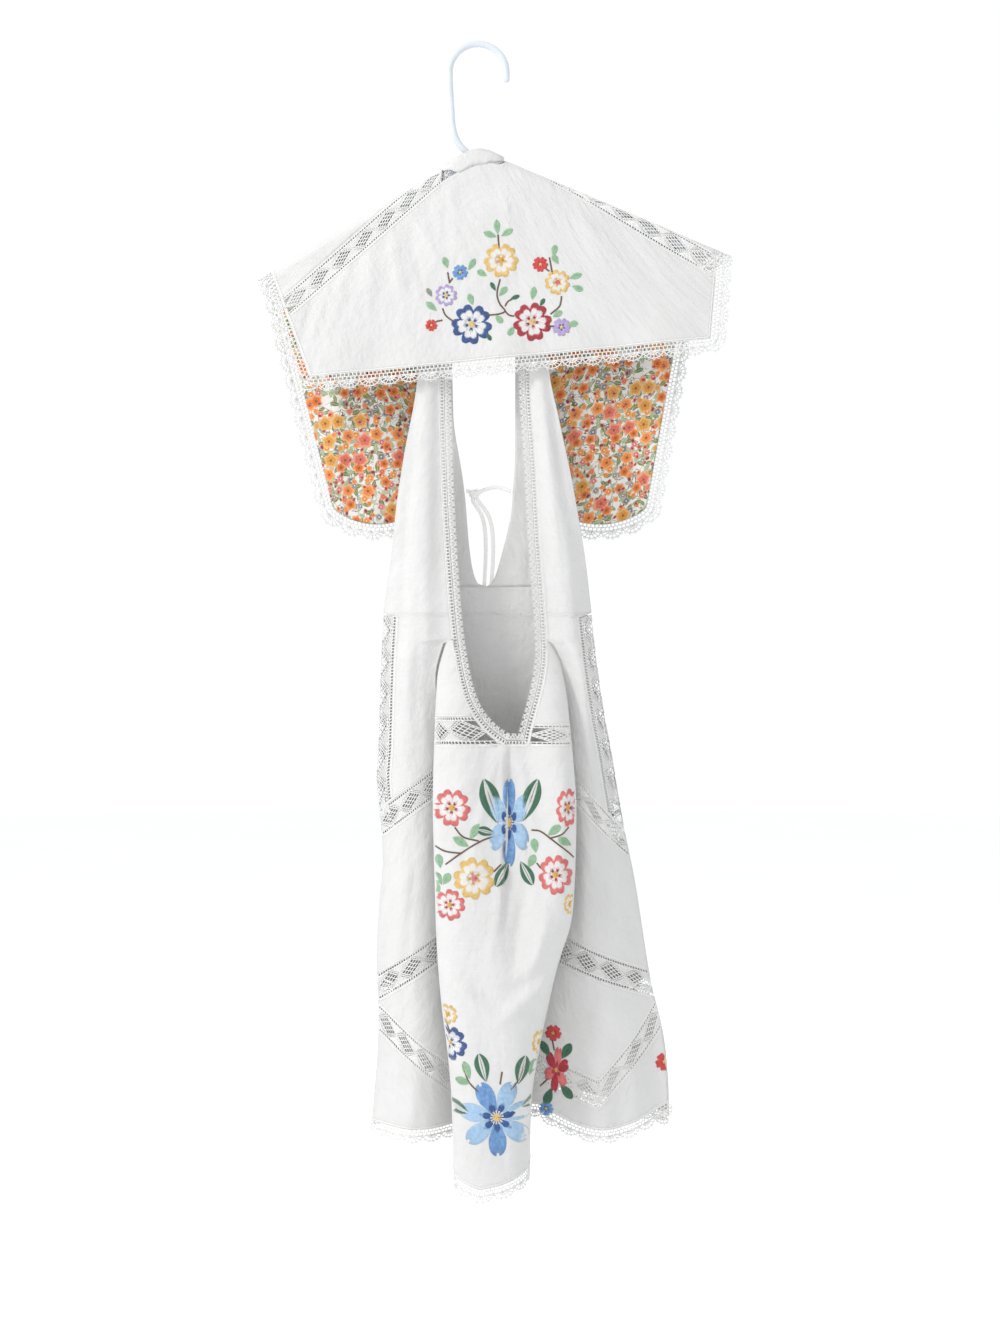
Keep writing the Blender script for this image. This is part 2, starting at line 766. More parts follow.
def back_piece_at(top, low, inset=0.0):
    def at(u, v):
        share = inset / (right_side(low(u)) - left_side(low(u)))
        z = lerp(top(u), low(lerp(share, 1 - share, u)), v)
        gap = inset * lace_share(z)
        return back_point(lerp(left_side(z) + gap, right_side(z) - gap, u), z)

    return at


def back_strap_at(side):
    inner = scoop_left if side < 0 else scoop_right

    def at(u, v):
        z = np.full(np.shape(u), SHOULDER_Z, float)
        for _ in range(4):
            x = lerp(side_outer(side, z), inner(z), u)
            z = lerp(shoulder_top(x), SCOOP_LOW, v)
        return back_point(x, z)

    return at


# ------------------------------------------------------------------ making meshes
def make_object(name, points, faces, materials, uv=None, which=None):
    """A mesh piece from points in millimetres; uv is per point, which picks each face's material."""
    mesh = bpy.data.meshes.new(name)
    mesh.from_pydata((np.asarray(points) * MM).tolist(), [], np.asarray(faces).tolist())
    for material in materials:
        mesh.materials.append(material)
    if uv is not None:
        corners = np.empty(len(mesh.loops), np.int32)
        mesh.loops.foreach_get("vertex_index", corners)
        layer = mesh.uv_layers.new(name="cloth")
        layer.data.foreach_set("uv", np.asarray(uv)[corners].astype(np.float32).ravel())
    if which is not None:
        mesh.polygons.foreach_set("material_index", np.asarray(which, np.int32))
    mesh.polygons.foreach_set("use_smooth", np.ones(len(mesh.polygons), bool))
    mesh.validate()
    mesh.update()
    return link(name, mesh)


def grid(columns, rows):
    return np.meshgrid(np.linspace(0, 1, columns + 1), np.linspace(0, 1, rows + 1))


def normals_of(points):
    return unit(np.cross(np.gradient(points, axis=1), np.gradient(points, axis=0)))


def lengths(points, axis):
    steps = np.linalg.norm(np.diff(points, axis=axis), axis=-1)
    zero = np.zeros_like(np.take(steps, [0], axis=axis))
    return np.concatenate([zero, np.cumsum(steps, axis=axis)], axis=axis)


def cloth(name, at, columns, rows, material, thickness=CLOTH):
    """A closed sheet of cloth round the middle surface at(u, v)."""
    u, v = grid(columns, rows)
    middle = at(u, v)
    normal = normals_of(middle)
    wide = lengths(middle, 1)
    tall = lengths(middle, 0)
    cells = np.linalg.norm(np.cross(np.diff(middle, axis=1)[:-1], np.diff(middle, axis=0)[:, :-1]), axis=-1)
    uv = np.stack([wide * MM, tall * MM], -1).reshape(-1, 2)
    points = np.concatenate([(middle + side * thickness * normal).reshape(-1, 3) for side in (0.5, -0.5)])
    across = columns + 1
    count = across * (rows + 1)
    index = np.arange(count).reshape(rows + 1, across)
    a, b, c, d = (index[:-1, :-1], index[:-1, 1:], index[1:, 1:], index[1:, :-1])
    face = np.stack([a, b, c, d], -1).reshape(-1, 4)
    back = np.stack([d, c, b, a], -1).reshape(-1, 4) + count
    ring = np.concatenate([index[0, :], index[1:, -1], index[-1, -2::-1], index[-2:0:-1, 0]])
    after = np.roll(ring, -1)
    wall = np.stack([after, ring, ring + count, after + count], -1)
    return make_object(name, points, np.concatenate([face, back, wall]), [material], np.tile(uv, (2, 1)))


def place_on(at, length, width, flip=False, step=1e-3):
    """Turns flat lace places (along, across) in millimetres into places and normals on at(u, v)."""

    def place(flat):
        u = flat[..., 0] / length
        v = flat[..., 1] / width
        here = at(u, v)
        du = at(u + step, v) - at(u - step, v)
        dv = at(u, v + step) - at(u, v - step)
        normal = unit(np.cross(du, dv))
        return here, -normal if flip else normal

    return place


def surface_frame(surface, a, b, step=0.4):
    """Places and outward normals of surface(a, b)."""
    da = surface(a + step, b) - surface(a - step, b)
    db = surface(a, b + step) - surface(a, b - step)
    return surface(a, b), unit(np.cross(da, db))


def sewn_edge(places, normals, side, blur=9):
    """A strip sewn along a path: resampled places, outward directions and normals, about 1 mm apart."""
    run = run_along(places)
    keep = np.concatenate([[True], np.diff(run) > 1e-6])
    count = max(int(run[-1]), 8)
    even = np.linspace(0, run[-1], count)
    p = interpolated(even, run[keep], places[keep])
    n = interpolated(even, run[keep], normals[keep])
    pad = np.pad(p, ((blur, blur), (0, 0)), mode="reflect", reflect_type="odd")
    kernel = np.hanning(2 * blur + 3)[1:-1]
    soft = np.stack([np.convolve(pad[:, k], kernel / kernel.sum(), "valid") for k in range(3)], -1)
    tangent = unit(np.gradient(soft, axis=0))
    return even, p, unit(np.cross(tangent, n)) * side, unit(n)


def place_along(edge, start=0.0):
    """Flat lace places (along, out) on a sewn edge, counted from start."""
    run, p, out, n = edge

    def place(flat):
        where = flat[..., 0] + start
        off = interpolated(where, run, out) * flat[..., 1:2]
        return interpolated(where, run, p) + off, unit(interpolated(where, run, n))

    return place


def threads(place, groups, height, base=0.0, sag=0.0):
    """Thread solids for groups of lines: each group is (lines of k flat points, half width)."""
    points = []
    faces = []
    start = 0
    for lines, half in groups:
        where, normal = place(lines)
        tangent = unit(np.gradient(where, axis=1))
        side = unit(np.cross(normal, tangent)) * half
        up = normal * height
        tips = np.sin(math.pi * np.linspace(0, 1, lines.shape[1]))[None, :, None]
        middle = where + normal * (base + sag * tips)
        section = np.stack([middle + side, middle + up, middle - side, middle - up], 2)
        n, k = lines.shape[:2]
        index = start + np.arange(n * k * 4).reshape(n, k, 4)
        after = np.roll(index, -1, axis=2)
        wall = np.stack([index[:, :-1], after[:, :-1], after[:, 1:], index[:, 1:]], -1)
        points.append(section.reshape(-1, 3))
        faces.append(wall.reshape(-1, 4))
        faces.append(index[:, 0, ::-1])
        faces.append(index[:, -1])
        start += n * k * 4
    return np.concatenate(points), np.concatenate(faces)


# ------------------------------------------------------------------ lace, drawn flat in millimetres
def straight(ends, k):
    """Lines of k points between pairs of ends: (n, 2, 2) to (n, k, 2)."""
    ends = np.asarray(ends, float).reshape(-1, 2, 2)
    t = np.linspace(0, 1, k)[None, :, None]
    return ends[:, :1] * (1 - t) + ends[:, 1:] * t


def arc(cx, cy, rx, ry, start, end, k):
    a = np.radians(np.linspace(start, end, k))
    return np.stack([cx + rx * np.cos(a), cy + ry * np.sin(a)], -1)


NET_PITCH = 31
NET_WIDTH = 24


def net_tile(pitch):
    """Insertion lace: a diamond of net in a plaited border, cloth-stitch triangles and holed headers."""
    half = pitch / 2
    middle = NET_WIDTH / 2
    groups = []
    rails = [[(0, v), (pitch, v)] for v in (0.4, 3.2, NET_WIDTH - 3.2, NET_WIDTH - 0.4)]
    groups.append((straight(rails, 9), 0.5))
    bars = []
    count = round(pitch / 3.0)
    for k in range(count):
        u = (k + 0.5) * pitch / count
        bars += [[(u, 0.4), (u, 3.2)], [(u, NET_WIDTH - 3.2), (u, NET_WIDTH - 0.4)]]
    groups.append((straight(bars, 2), 0.6))
    corners = np.array([(1, 0), (0, 1), (-1, 0), (0, -1), (1, 0)]) * (half, middle - 3.4)

    def diamond(scale):
        ring = corners * scale + (half, middle)
        return [[ring[i], ring[i + 1]] for i in range(4)]

    groups.append((straight(diamond(1.08) + diamond(0.86), 5), 0.5))
    ties = []
    for outer, inner in zip(diamond(1.08), diamond(0.86)):
        for t in np.linspace(0.1, 0.9, 6):
            ties.append([lerp(outer[0], outer[1], t), lerp(inner[0], inner[1], t)])
    groups.append((straight(ties, 2), 0.45))
    net = []
    ring = corners * 0.86 + (half, middle)
    for t in (0.25, 0.5, 0.75):
        net.append([lerp(ring[0], ring[1], t), lerp(ring[3], ring[2], t)])
        net.append([lerp(ring[1], ring[2], t), lerp(ring[0], ring[3], t)])
    groups.append((straight(net, 4), 0.48))
    weave_lines = []
    high = middle - 4.6
    for v in np.arange(3.6, high + 3.0, 0.6):
        reach = (half - 2.6) * (1 - (v - 3.2) / high)
        if reach > 0.5:
            weave_lines.append([(-reach, v), (reach, v)])
    low = straight(weave_lines, 5)
    groups.append((np.concatenate([low, low * (1, -1) + (0, NET_WIDTH)]), 0.34))
    return groups


def scallop(half, foot, rise, count, reach, tip, size):
    """A scallop's rays from the middle of its foot, and the small loop beyond each."""
    rays = []
    picots = []
    for k in range(count):
        a = math.pi * (k + 0.5) / count
        way = np.array([half * math.cos(a), rise * math.sin(a)])
        rays.append([way * 0.1 + (half, foot), way * reach + (half, foot)])
        centre = way * tip + (half, foot)
        picots.append(arc(centre[0], centre[1], size, size, 0, 330, 6))
    return rays, np.array(picots)


FAN_DRAWN = 17  # each tile is drawn this wide and stretched to the lace's width
FAN_ROWS = (0.4, 3.9, 7.5)
FAN_RISE = 8.2
PICOT_DRAWN = 11.5
PICOT_ROWS = (0.4, 3.6, 5.2)


def fan_tile(pitch, width):
    """Edging lace: two rows of square holes beside the cloth, then a fan with picots."""
    inner, middle, foot = FAN_ROWS
    groups = [(straight([[(0, v), (pitch, v)] for v in FAN_ROWS], 7), 0.5)]
    bars = []
    for k in range(5):
        u = (k + 0.5) * pitch / 5
        bars.append([(u, inner), (u, middle)])
        bars.append([(u - pitch / 10, middle), (u - pitch / 10, foot)])
    groups.append((straight(bars, 2), 0.62))
    half = pitch / 2
    arcs = [arc(half, foot, half * share, FAN_RISE * share, 0, 180, 13) for share in (0.5, 0.97)]
    groups.append((np.array(arcs), 0.55))
    rays, picots = scallop(half, foot, FAN_RISE, 7, 1.0, 1.07, 1.0)
    groups.append((straight(rays, 3), 0.5))
    groups.append((picots, 0.36))
    return [(lines * (1, width / FAN_DRAWN), wide) for lines, wide in groups]


def picot_tile(pitch, width):
    """Neckline lace: a row of upright holes and a small scallop with picots."""
    inner, middle, foot = PICOT_ROWS
    half = pitch / 2
    groups = [(straight([[(0, v), (pitch, v)] for v in PICOT_ROWS], 4), 0.45)]
    bars = [[(u, inner), (u, middle)] for u in (pitch * 0.25, pitch * 0.75)]
    groups.append((straight(bars, 2), 0.75))
    groups.append((np.array([arc(half, foot, half * 0.96, 4.8, 0, 180, 9)]), 0.5))
    rays, picots = scallop(half, foot, 5.2, 4, 0.95, 1.1, 0.8)
    groups.append((straight(rays, 2), 0.42))
    groups.append((picots, 0.32))
    return [(lines * (1, width / PICOT_DRAWN), wide) for lines, wide in groups]


def repeated(tile, pitch, length):
    """The groups of a tile, repeated to fill a length."""
    count = max(round(length / pitch), 1)
    stretched = length / count
    groups = []
    for lines, half in tile(pitch):
        moved = [lines * (stretched / pitch, 1) + (k * stretched, 0) for k in range(count)]
        run = np.concatenate(moved)
        run[..., 0] = np.clip(run[..., 0], 0, length)
        groups.append((run, half))
    return groups


LACE_HEIGHT = 0.42


def strip_length(at):
    """Length of the strip at(u, v) along its middle."""
    return lengths(at(*grid(40, 2)), 1)[1, -1]


def net_lace(name, at, flip=False):
    """Insertion lace filling at(u, v), where u runs along the strip."""
    length = strip_length(at)
    place = place_on(at, length, NET_WIDTH, flip)
    points, faces = threads(place, repeated(net_tile, NET_PITCH, length), LACE_HEIGHT)
    return make_object(name, points, faces, [LACE])


def edge_lace(name, edge, span, tile, pitch, width):
    """Edging lace along part of a sewn edge, from span[0] to span[1] millimetres along it."""
    groups = repeated(lambda p: tile(p, width), pitch, span[1] - span[0])
    points, faces = threads(place_along(edge, span[0]), groups, LACE_HEIGHT)
    return make_object(name, points, faces, [LACE])


# ------------------------------------------------------------------ materials
class Nodes:
    """A material's node tree, built by short calls."""

    def __init__(self, name, roughness, **sockets):
        self.material = bpy.data.materials.new(name)
        self.material.use_nodes = True
        self.tree = self.material.node_tree
        self.shader = self.tree.nodes["Principled BSDF"]
        self.shader.inputs["Roughness"].default_value = roughness
        for socket, value in sockets.items():
            self.shader.inputs[socket.replace("_", " ")].default_value = value

    def put(self, value, socket):
        if isinstance(value, bpy.types.NodeSocket):
            self.tree.links.new(value, socket)
        else:
            socket.default_value = value

    def node(self, kind, inputs=(), **settings):
        node = self.tree.nodes.new("ShaderNode" + kind)
        for name, value in settings.items():
            setattr(node, name, value)
        for name, value in dict(inputs).items():
            self.put(value, node.inputs[name])
        return node

    def math(self, operation, a, b=0.0, clamp=False):
        node = self.node("Math", {0: a, 1: b}, operation=operation, use_clamp=clamp)
        return node.outputs[0]

    def vector(self, operation, a, b=(0, 0, 0)):
        node = self.node("VectorMath", {0: a, 1: b}, operation=operation)
        return node.outputs["Value" if operation in ("LENGTH", "DOT_PRODUCT") else "Vector"]

    def mix(self, factor, a, b):
        node = self.node("Mix", {"Factor": factor}, data_type="RGBA")
        self.put(a, node.inputs[6])
        self.put(b, node.inputs[7])
        return node.outputs[2]

    def cloth_mm(self):
        """The place on the cloth, in millimetres."""
        coordinates = self.node("UVMap", uv_map="cloth").outputs[0]
        return self.vector("MULTIPLY", coordinates, (1000, 1000, 1000))

    def object_mm(self):
        coordinates = self.node("TexCoord").outputs["Object"]
        return self.vector("MULTIPLY", coordinates, (1000, 1000, 1000))

    def noise(self, at, scale, detail=3.0, roughness=0.5):
        inputs = {"Vector": at, "Scale": scale, "Detail": detail, "Roughness": roughness}
        return self.node("TexNoise", inputs).outputs["Fac"]

    def shades(self, factor, low, high):
        """A colour between two near ones."""
        return self.ramp(factor, [(0.3, low), (0.7, high)])

    def ramp(self, factor, stops, interpolation="LINEAR"):
        node = self.node("ValToRGB", {"Fac": factor})
        node.color_ramp.interpolation = interpolation
        elements = node.color_ramp.elements
        while len(elements) < len(stops):
            elements.new(0.5)
        for element, (place, colour) in zip(elements, stops):
            element.position = place
            element.color = (*colour, 1)
        return node.outputs["Color"]

    def bump(self, height, distance, strength=1.0, under=None):
        node = self.node("Bump", {"Height": height, "Distance": distance, "Strength": strength})
        if under is not None:
            self.put(under, node.inputs["Normal"])
        return node.outputs["Normal"]

    def finish(self, colour, normal):
        self.put(colour, self.shader.inputs["Base Color"])
        self.put(normal, self.shader.inputs["Normal"])
        return self.material


THREAD_PITCH = 0.62  # millimetres from one thread of the cotton to the next


def weave(nodes, at):
    """Height of a plain weave, with thicker and thinner threads."""
    scale = 0.314 / THREAD_PITCH
    parts = []
    for direction in ("X", "Y"):
        wave = nodes.node(
            "TexWave",
            {"Vector": at, "Scale": scale, "Distortion": 0.8, "Detail": 1.0, "Detail Scale": 0.4},
            bands_direction=direction,
        )
        parts.append(wave.outputs["Fac"])
    slub = nodes.noise(nodes.vector("MULTIPLY", at, (0.02, 0.9, 1)), 1.0)
    both = nodes.math("MULTIPLY", parts[0], parts[1])
    return nodes.math("ADD", both, nodes.math("MULTIPLY", slub, 1.2))


def crumple(nodes, at):
    """The soft crumples that worn cotton keeps."""
    wide = nodes.noise(at, 0.035, 4.0, 0.55)
    fine = nodes.noise(nodes.vector("MULTIPLY", at, (1, 0.45, 1)), 0.11, 3.0, 0.5)
    return nodes.math("ADD", wide, nodes.math("MULTIPLY", fine, 0.45))


def cotton_material():
    nodes = Nodes("white_cotton", 0.85, Sheen_Weight=0.25, Sheen_Roughness=0.5, Specular_IOR_Level=0.25)
    at = nodes.cloth_mm()
    folds = crumple(nodes, at)
    colour = nodes.shades(nodes.noise(at, 0.02, 4.0), (0.63, 0.628, 0.615), (0.665, 0.662, 0.65))
    threads_high = weave(nodes, at)
    tint = nodes.ramp(threads_high, [(0.2, (0.93, 0.93, 0.93)), (1.0, (1, 1, 1))])
    mixed = nodes.node("Mix", {"Factor": 1.0}, data_type="RGBA", blend_type="MULTIPLY")
    nodes.put(colour, mixed.inputs[6])
    nodes.put(tint, mixed.inputs[7])
    soft = nodes.bump(folds, 0.006, 0.55)
    return nodes.finish(mixed.outputs[2], nodes.bump(threads_high, 0.00025, 0.5, soft))


def lace_material():
    nodes = Nodes("white_lace", 0.9, Sheen_Weight=0.2, Specular_IOR_Level=0.25)
    at = nodes.object_mm()
    twist = nodes.noise(at, 1.7, 2.0)
    colour = nodes.ramp(twist, [(0.25, (0.72, 0.715, 0.70)), (0.75, (0.82, 0.815, 0.80))])
    return nodes.finish(colour, nodes.bump(twist, 0.0005, 0.6))


def plastic_material():
    nodes = Nodes("white_plastic", 0.28, Coat_Weight=0.15, Coat_Roughness=0.15)
    at = nodes.object_mm()
    cloud = nodes.noise(at, 0.05, 2.0)
    scuff = nodes.noise(nodes.vector("MULTIPLY", at, (0.2, 1, 1)), 0.9, 3.0)
    colour = nodes.shades(cloud, (0.56, 0.60, 0.65), (0.64, 0.67, 0.71))
    rough = nodes.node("MapRange", {"Value": scuff, "To Min": 0.22, "To Max": 0.36}).outputs[0]
    nodes.put(rough, nodes.shader.inputs["Roughness"])
    return nodes.finish(colour, nodes.bump(scuff, 0.0002, 0.25))


SILK_DEPTH = 0.8  # how much of its named colour a floss keeps


def silk_material(name, dark, light):
    """Embroidery floss: colour that drifts along the work, and fine strands."""
    nodes = Nodes(name, 0.5, Sheen_Weight=0.3, Specular_IOR_Level=0.4)
    at = nodes.object_mm()
    drift = nodes.noise(at, 0.35, 2.0)
    strand = nodes.noise(at, 3.5, 2.0)
    both = nodes.math("ADD", nodes.math("MULTIPLY", drift, 0.6), nodes.math("MULTIPLY", strand, 0.4))
    deep = [tuple(SILK_DEPTH * value for value in shade) for shade in (dark, light)]
    colour = nodes.ramp(both, [(0.32, deep[0]), (0.66, deep[1])])
    return nodes.finish(colour, nodes.bump(strand, 0.0003, 0.5))


def scattered(nodes, at, pitch, offset, randomness=0.75):
    """Motifs scattered on cells of one pitch: distance from each, angle round it, three random values."""
    moved = nodes.vector("ADD", at, (offset, offset * 0.7, 0))
    inputs = {"Vector": moved, "Scale": 1 / pitch, "Randomness": randomness}
    cells = nodes.node("TexVoronoi", inputs, voronoi_dimensions="2D")
    away = nodes.vector("SUBTRACT", moved, cells.outputs["Position"])
    chance = nodes.node("SeparateColor", {"Color": cells.outputs["Color"]})
    parts = nodes.node("SeparateXYZ", {"Vector": away})
    angle = nodes.math("ARCTAN2", parts.outputs[1], parts.outputs[0])
    turned = nodes.math("ADD", angle, nodes.math("MULTIPLY", chance.outputs[0], 2 * math.pi))
    flat = nodes.vector("MULTIPLY", away, (1, 1, 0))
    return nodes.vector("LENGTH", flat), turned, chance.outputs


def inside(nodes, distance, edge, softness=0.12):
    """1 where distance is less than edge, with a soft printed border."""
    gap = nodes.math("SUBTRACT", edge, distance)
    return nodes.math("DIVIDE", gap, softness, clamp=True)


def petals(nodes, angle, count, radius, depth):
    wave = nodes.math("COSINE", nodes.math("MULTIPLY", angle, float(count)))
    share = nodes.math("ADD", nodes.math("MULTIPLY", wave, depth), 1 - depth)
    return nodes.math("MULTIPLY", share, radius)


ORANGE_HUES = [
    (0.0, (0.68, 0.16, 0.03)), (0.4, (0.76, 0.24, 0.06)),
    (0.7, (0.62, 0.30, 0.06)), (0.86, (0.66, 0.16, 0.12)),
]
SMALL_HUES = [
    (0.0, (0.17, 0.21, 0.30)), (0.3, (0.62, 0.14, 0.20)),
    (0.5, (0.72, 0.24, 0.06)), (0.75, (0.13, 0.2, 0.26)),
]
LEAF_HUES = [
    (0.0, (0.20, 0.22, 0.06)), (0.35, (0.33, 0.40, 0.24)),
    (0.65, (0.16, 0.2, 0.09)), (0.85, (0.42, 0.46, 0.3)),
]
BERRY_HUES = [(0.0, (0.30, 0.015, 0.04)), (0.5, (0.42, 0.03, 0.05)), (0.8, (0.2, 0.02, 0.05))]


def print_flowers(nodes, at, under, pitch, offset, count, radius, hues, keep, eye):
    """One layer of printed flowers over the colour under it."""
    distance, angle, chance = scattered(nodes, at, pitch, offset)
    size = nodes.math("ADD", 0.75, nodes.math("MULTIPLY", chance[1], 0.45))
    edge = nodes.math("MULTIPLY", petals(nodes, angle, count, radius, 0.13), size)
    shown = nodes.math("LESS_THAN", chance[2], keep)
    mask = nodes.math("MULTIPLY", inside(nodes, distance, edge), shown)
    base = nodes.ramp(chance[1], hues, "CONSTANT")
    veins = nodes.math("ABSOLUTE", nodes.math("SINE", nodes.math("MULTIPLY", angle, count / 2)))
    shade = nodes.math("MULTIPLY", nodes.math("POWER", veins, 6.0), 0.35)
    petal = nodes.mix(shade, base, (0.33, 0.06, 0.03, 1))
    rim = inside(nodes, distance, nodes.math("MULTIPLY", edge, 0.72), 0.5)
    pale = nodes.mix(rim, nodes.mix(0.35, petal, (0.9, 0.62, 0.35, 1)), petal)
    centre = inside(nodes, distance, radius * 0.2)
    flower = nodes.mix(centre, pale, eye)
    return nodes.mix(mask, under, flower)


def print_leaves(nodes, at, under, pitch, offset, length, half, keep):
    distance, angle, chance = scattered(nodes, at, pitch, offset, 0.9)
    along = nodes.math("MULTIPLY", distance, nodes.math("COSINE", angle))
    across = nodes.math("ABSOLUTE", nodes.math("MULTIPLY", distance, nodes.math("SINE", angle)))
    share = nodes.math("DIVIDE", along, length)
    bow = nodes.math("SUBTRACT", 1.0, nodes.math("MULTIPLY", share, share))
    mask = inside(nodes, across, nodes.math("MULTIPLY", bow, half))
    shown = nodes.math("LESS_THAN", chance[2], keep)
    rib = nodes.math("LESS_THAN", across, 0.18)
    base = nodes.ramp(chance[1], LEAF_HUES, "CONSTANT")
    leaf = nodes.mix(nodes.math("MULTIPLY", rib, 0.6), base, (0.75, 0.74, 0.55, 1))
    return nodes.mix(nodes.math("MULTIPLY", mask, shown), under, leaf)


def print_stems(nodes, at, under, pitch, offset, half):
    wander = nodes.node("TexNoise", {"Vector": at, "Scale": 0.09, "Detail": 1.0}, noise_dimensions="2D")
    bent = nodes.vector("ADD", at, nodes.vector("MULTIPLY", wander.outputs["Color"], (16, 16, 0)))
    moved = nodes.vector("ADD", bent, (offset, offset, 0))
    inputs = {"Vector": moved, "Scale": 1 / pitch}
    cells = nodes.node("TexVoronoi", inputs, voronoi_dimensions="2D", feature="DISTANCE_TO_EDGE")
    distance = nodes.math("MULTIPLY", cells.outputs["Distance"], pitch)
    broken = nodes.noise(at, 0.12, 1.0)
    mask = nodes.math("MULTIPLY", inside(nodes, distance, half), nodes.math("GREATER_THAN", broken, 0.45))
    return nodes.mix(mask, under, (0.13, 0.12, 0.06, 1))


def floral_material():
    """White cotton with a dense print of small flowers, berries, leaves and stems."""
    nodes = Nodes("floral_cotton", 0.85, Sheen_Weight=0.25, Sheen_Roughness=0.5, Specular_IOR_Level=0.25)
    at = nodes.cloth_mm()
    ground = nodes.shades(nodes.noise(at, 0.03), (0.70, 0.68, 0.64), (0.75, 0.73, 0.69))
    colour = print_stems(nodes, at, ground, 15.0, 3.0, 0.42)
    colour = print_stems(nodes, at, colour, 9.0, 41.0, 0.3)
    colour = print_leaves(nodes, at, colour, 8.4, 11.0, 4.6, 1.8, 0.8)
    colour = print_leaves(nodes, at, colour, 10.2, 57.0, 5.4, 2.4, 0.75)
    colour = print_flowers(nodes, at, colour, 11.0, 23.0, 4, 4.2, SMALL_HUES, 0.8, (0.8, 0.7, 0.5, 1))
    colour = print_flowers(nodes, at, colour, 12.5, 71.0, 3, 3.4, ORANGE_HUES, 0.7, (0.7, 0.35, 0.05, 1))
    colour = print_flowers(nodes, at, colour, 18.5, 5.0, 5, 7.6, ORANGE_HUES, 0.9, (0.3, 0.1, 0.04, 1))
    colour = print_flowers(nodes, at, colour, 10.0, 37.0, 2, 2.4, BERRY_HUES, 0.6, (0.5, 0.06, 0.08, 1))
    soft = nodes.bump(crumple(nodes, at), 0.004, 0.4)
    return nodes.finish(colour, nodes.bump(weave(nodes, at), 0.00025, 0.5, soft))


def floor_material():
    nodes = Nodes("pale_floor", 0.9)
    at = nodes.object_mm()
    colour = nodes.shades(nodes.noise(at, 0.002), (0.97, 0.975, 0.98), (0.985, 0.99, 0.995))
    return nodes.finish(colour, nodes.bump(nodes.noise(at, 0.05), 0.0005, 0.2))


COTTON = cotton_material()
LACE = lace_material()
PLASTIC = plastic_material()
FLORAL = floral_material()

SILKS = {
    "coral": ((0.72, 0.12, 0.13), (0.86, 0.26, 0.25)),
    "crimson": ((0.36, 0.012, 0.03), (0.6, 0.04, 0.07)),
    "red": ((0.6, 0.03, 0.04), (0.78, 0.1, 0.08)),
    "pink": ((0.75, 0.3, 0.33), (0.88, 0.5, 0.5)),
    "yellow": ((0.82, 0.5, 0.1), (0.93, 0.7, 0.3)),
    "gold": ((0.75, 0.36, 0.03), (0.9, 0.55, 0.1)),
    "navy": ((0.02, 0.06, 0.22), (0.05, 0.14, 0.4)),
    "blue": ((0.1, 0.25, 0.55), (0.25, 0.46, 0.76)),
    "sky": ((0.3, 0.5, 0.74), (0.5, 0.68, 0.86)),
    "lilac": ((0.42, 0.3, 0.6), (0.62, 0.5, 0.78)),
    "mint": ((0.27, 0.5, 0.3), (0.46, 0.68, 0.45)),
    "leaf": ((0.03, 0.13, 0.07), (0.07, 0.24, 0.13)),
    "sage": ((0.25, 0.3, 0.24), (0.4, 0.45, 0.37)),
    "brown": ((0.1, 0.045, 0.03), (0.2, 0.1, 0.06)),
    "white": ((0.8, 0.79, 0.77), (0.9, 0.89, 0.87)),
}
SILK_NAMES = list(SILKS)
SILK = [silk_material(f"floss_{name}", *shades) for name, shades in SILKS.items()]


# ------------------------------------------------------------------ embroidery, placed flat in millimetres
FLOSS = 0.48  # half the width of a stitch
STITCH_HEIGHT = 0.38
VEIN_OF = {"coral": "crimson", "crimson": "crimson", "yellow": "gold", "red": "crimson"}


def flat_on(surface, facing=1):
    """Turns flat places (x, z) into places and outward normals on surface(x, z)."""

    def place(flat):
        where, normal = surface_frame(surface, flat[..., 0], flat[..., 1])
        return where, normal * facing

    return place


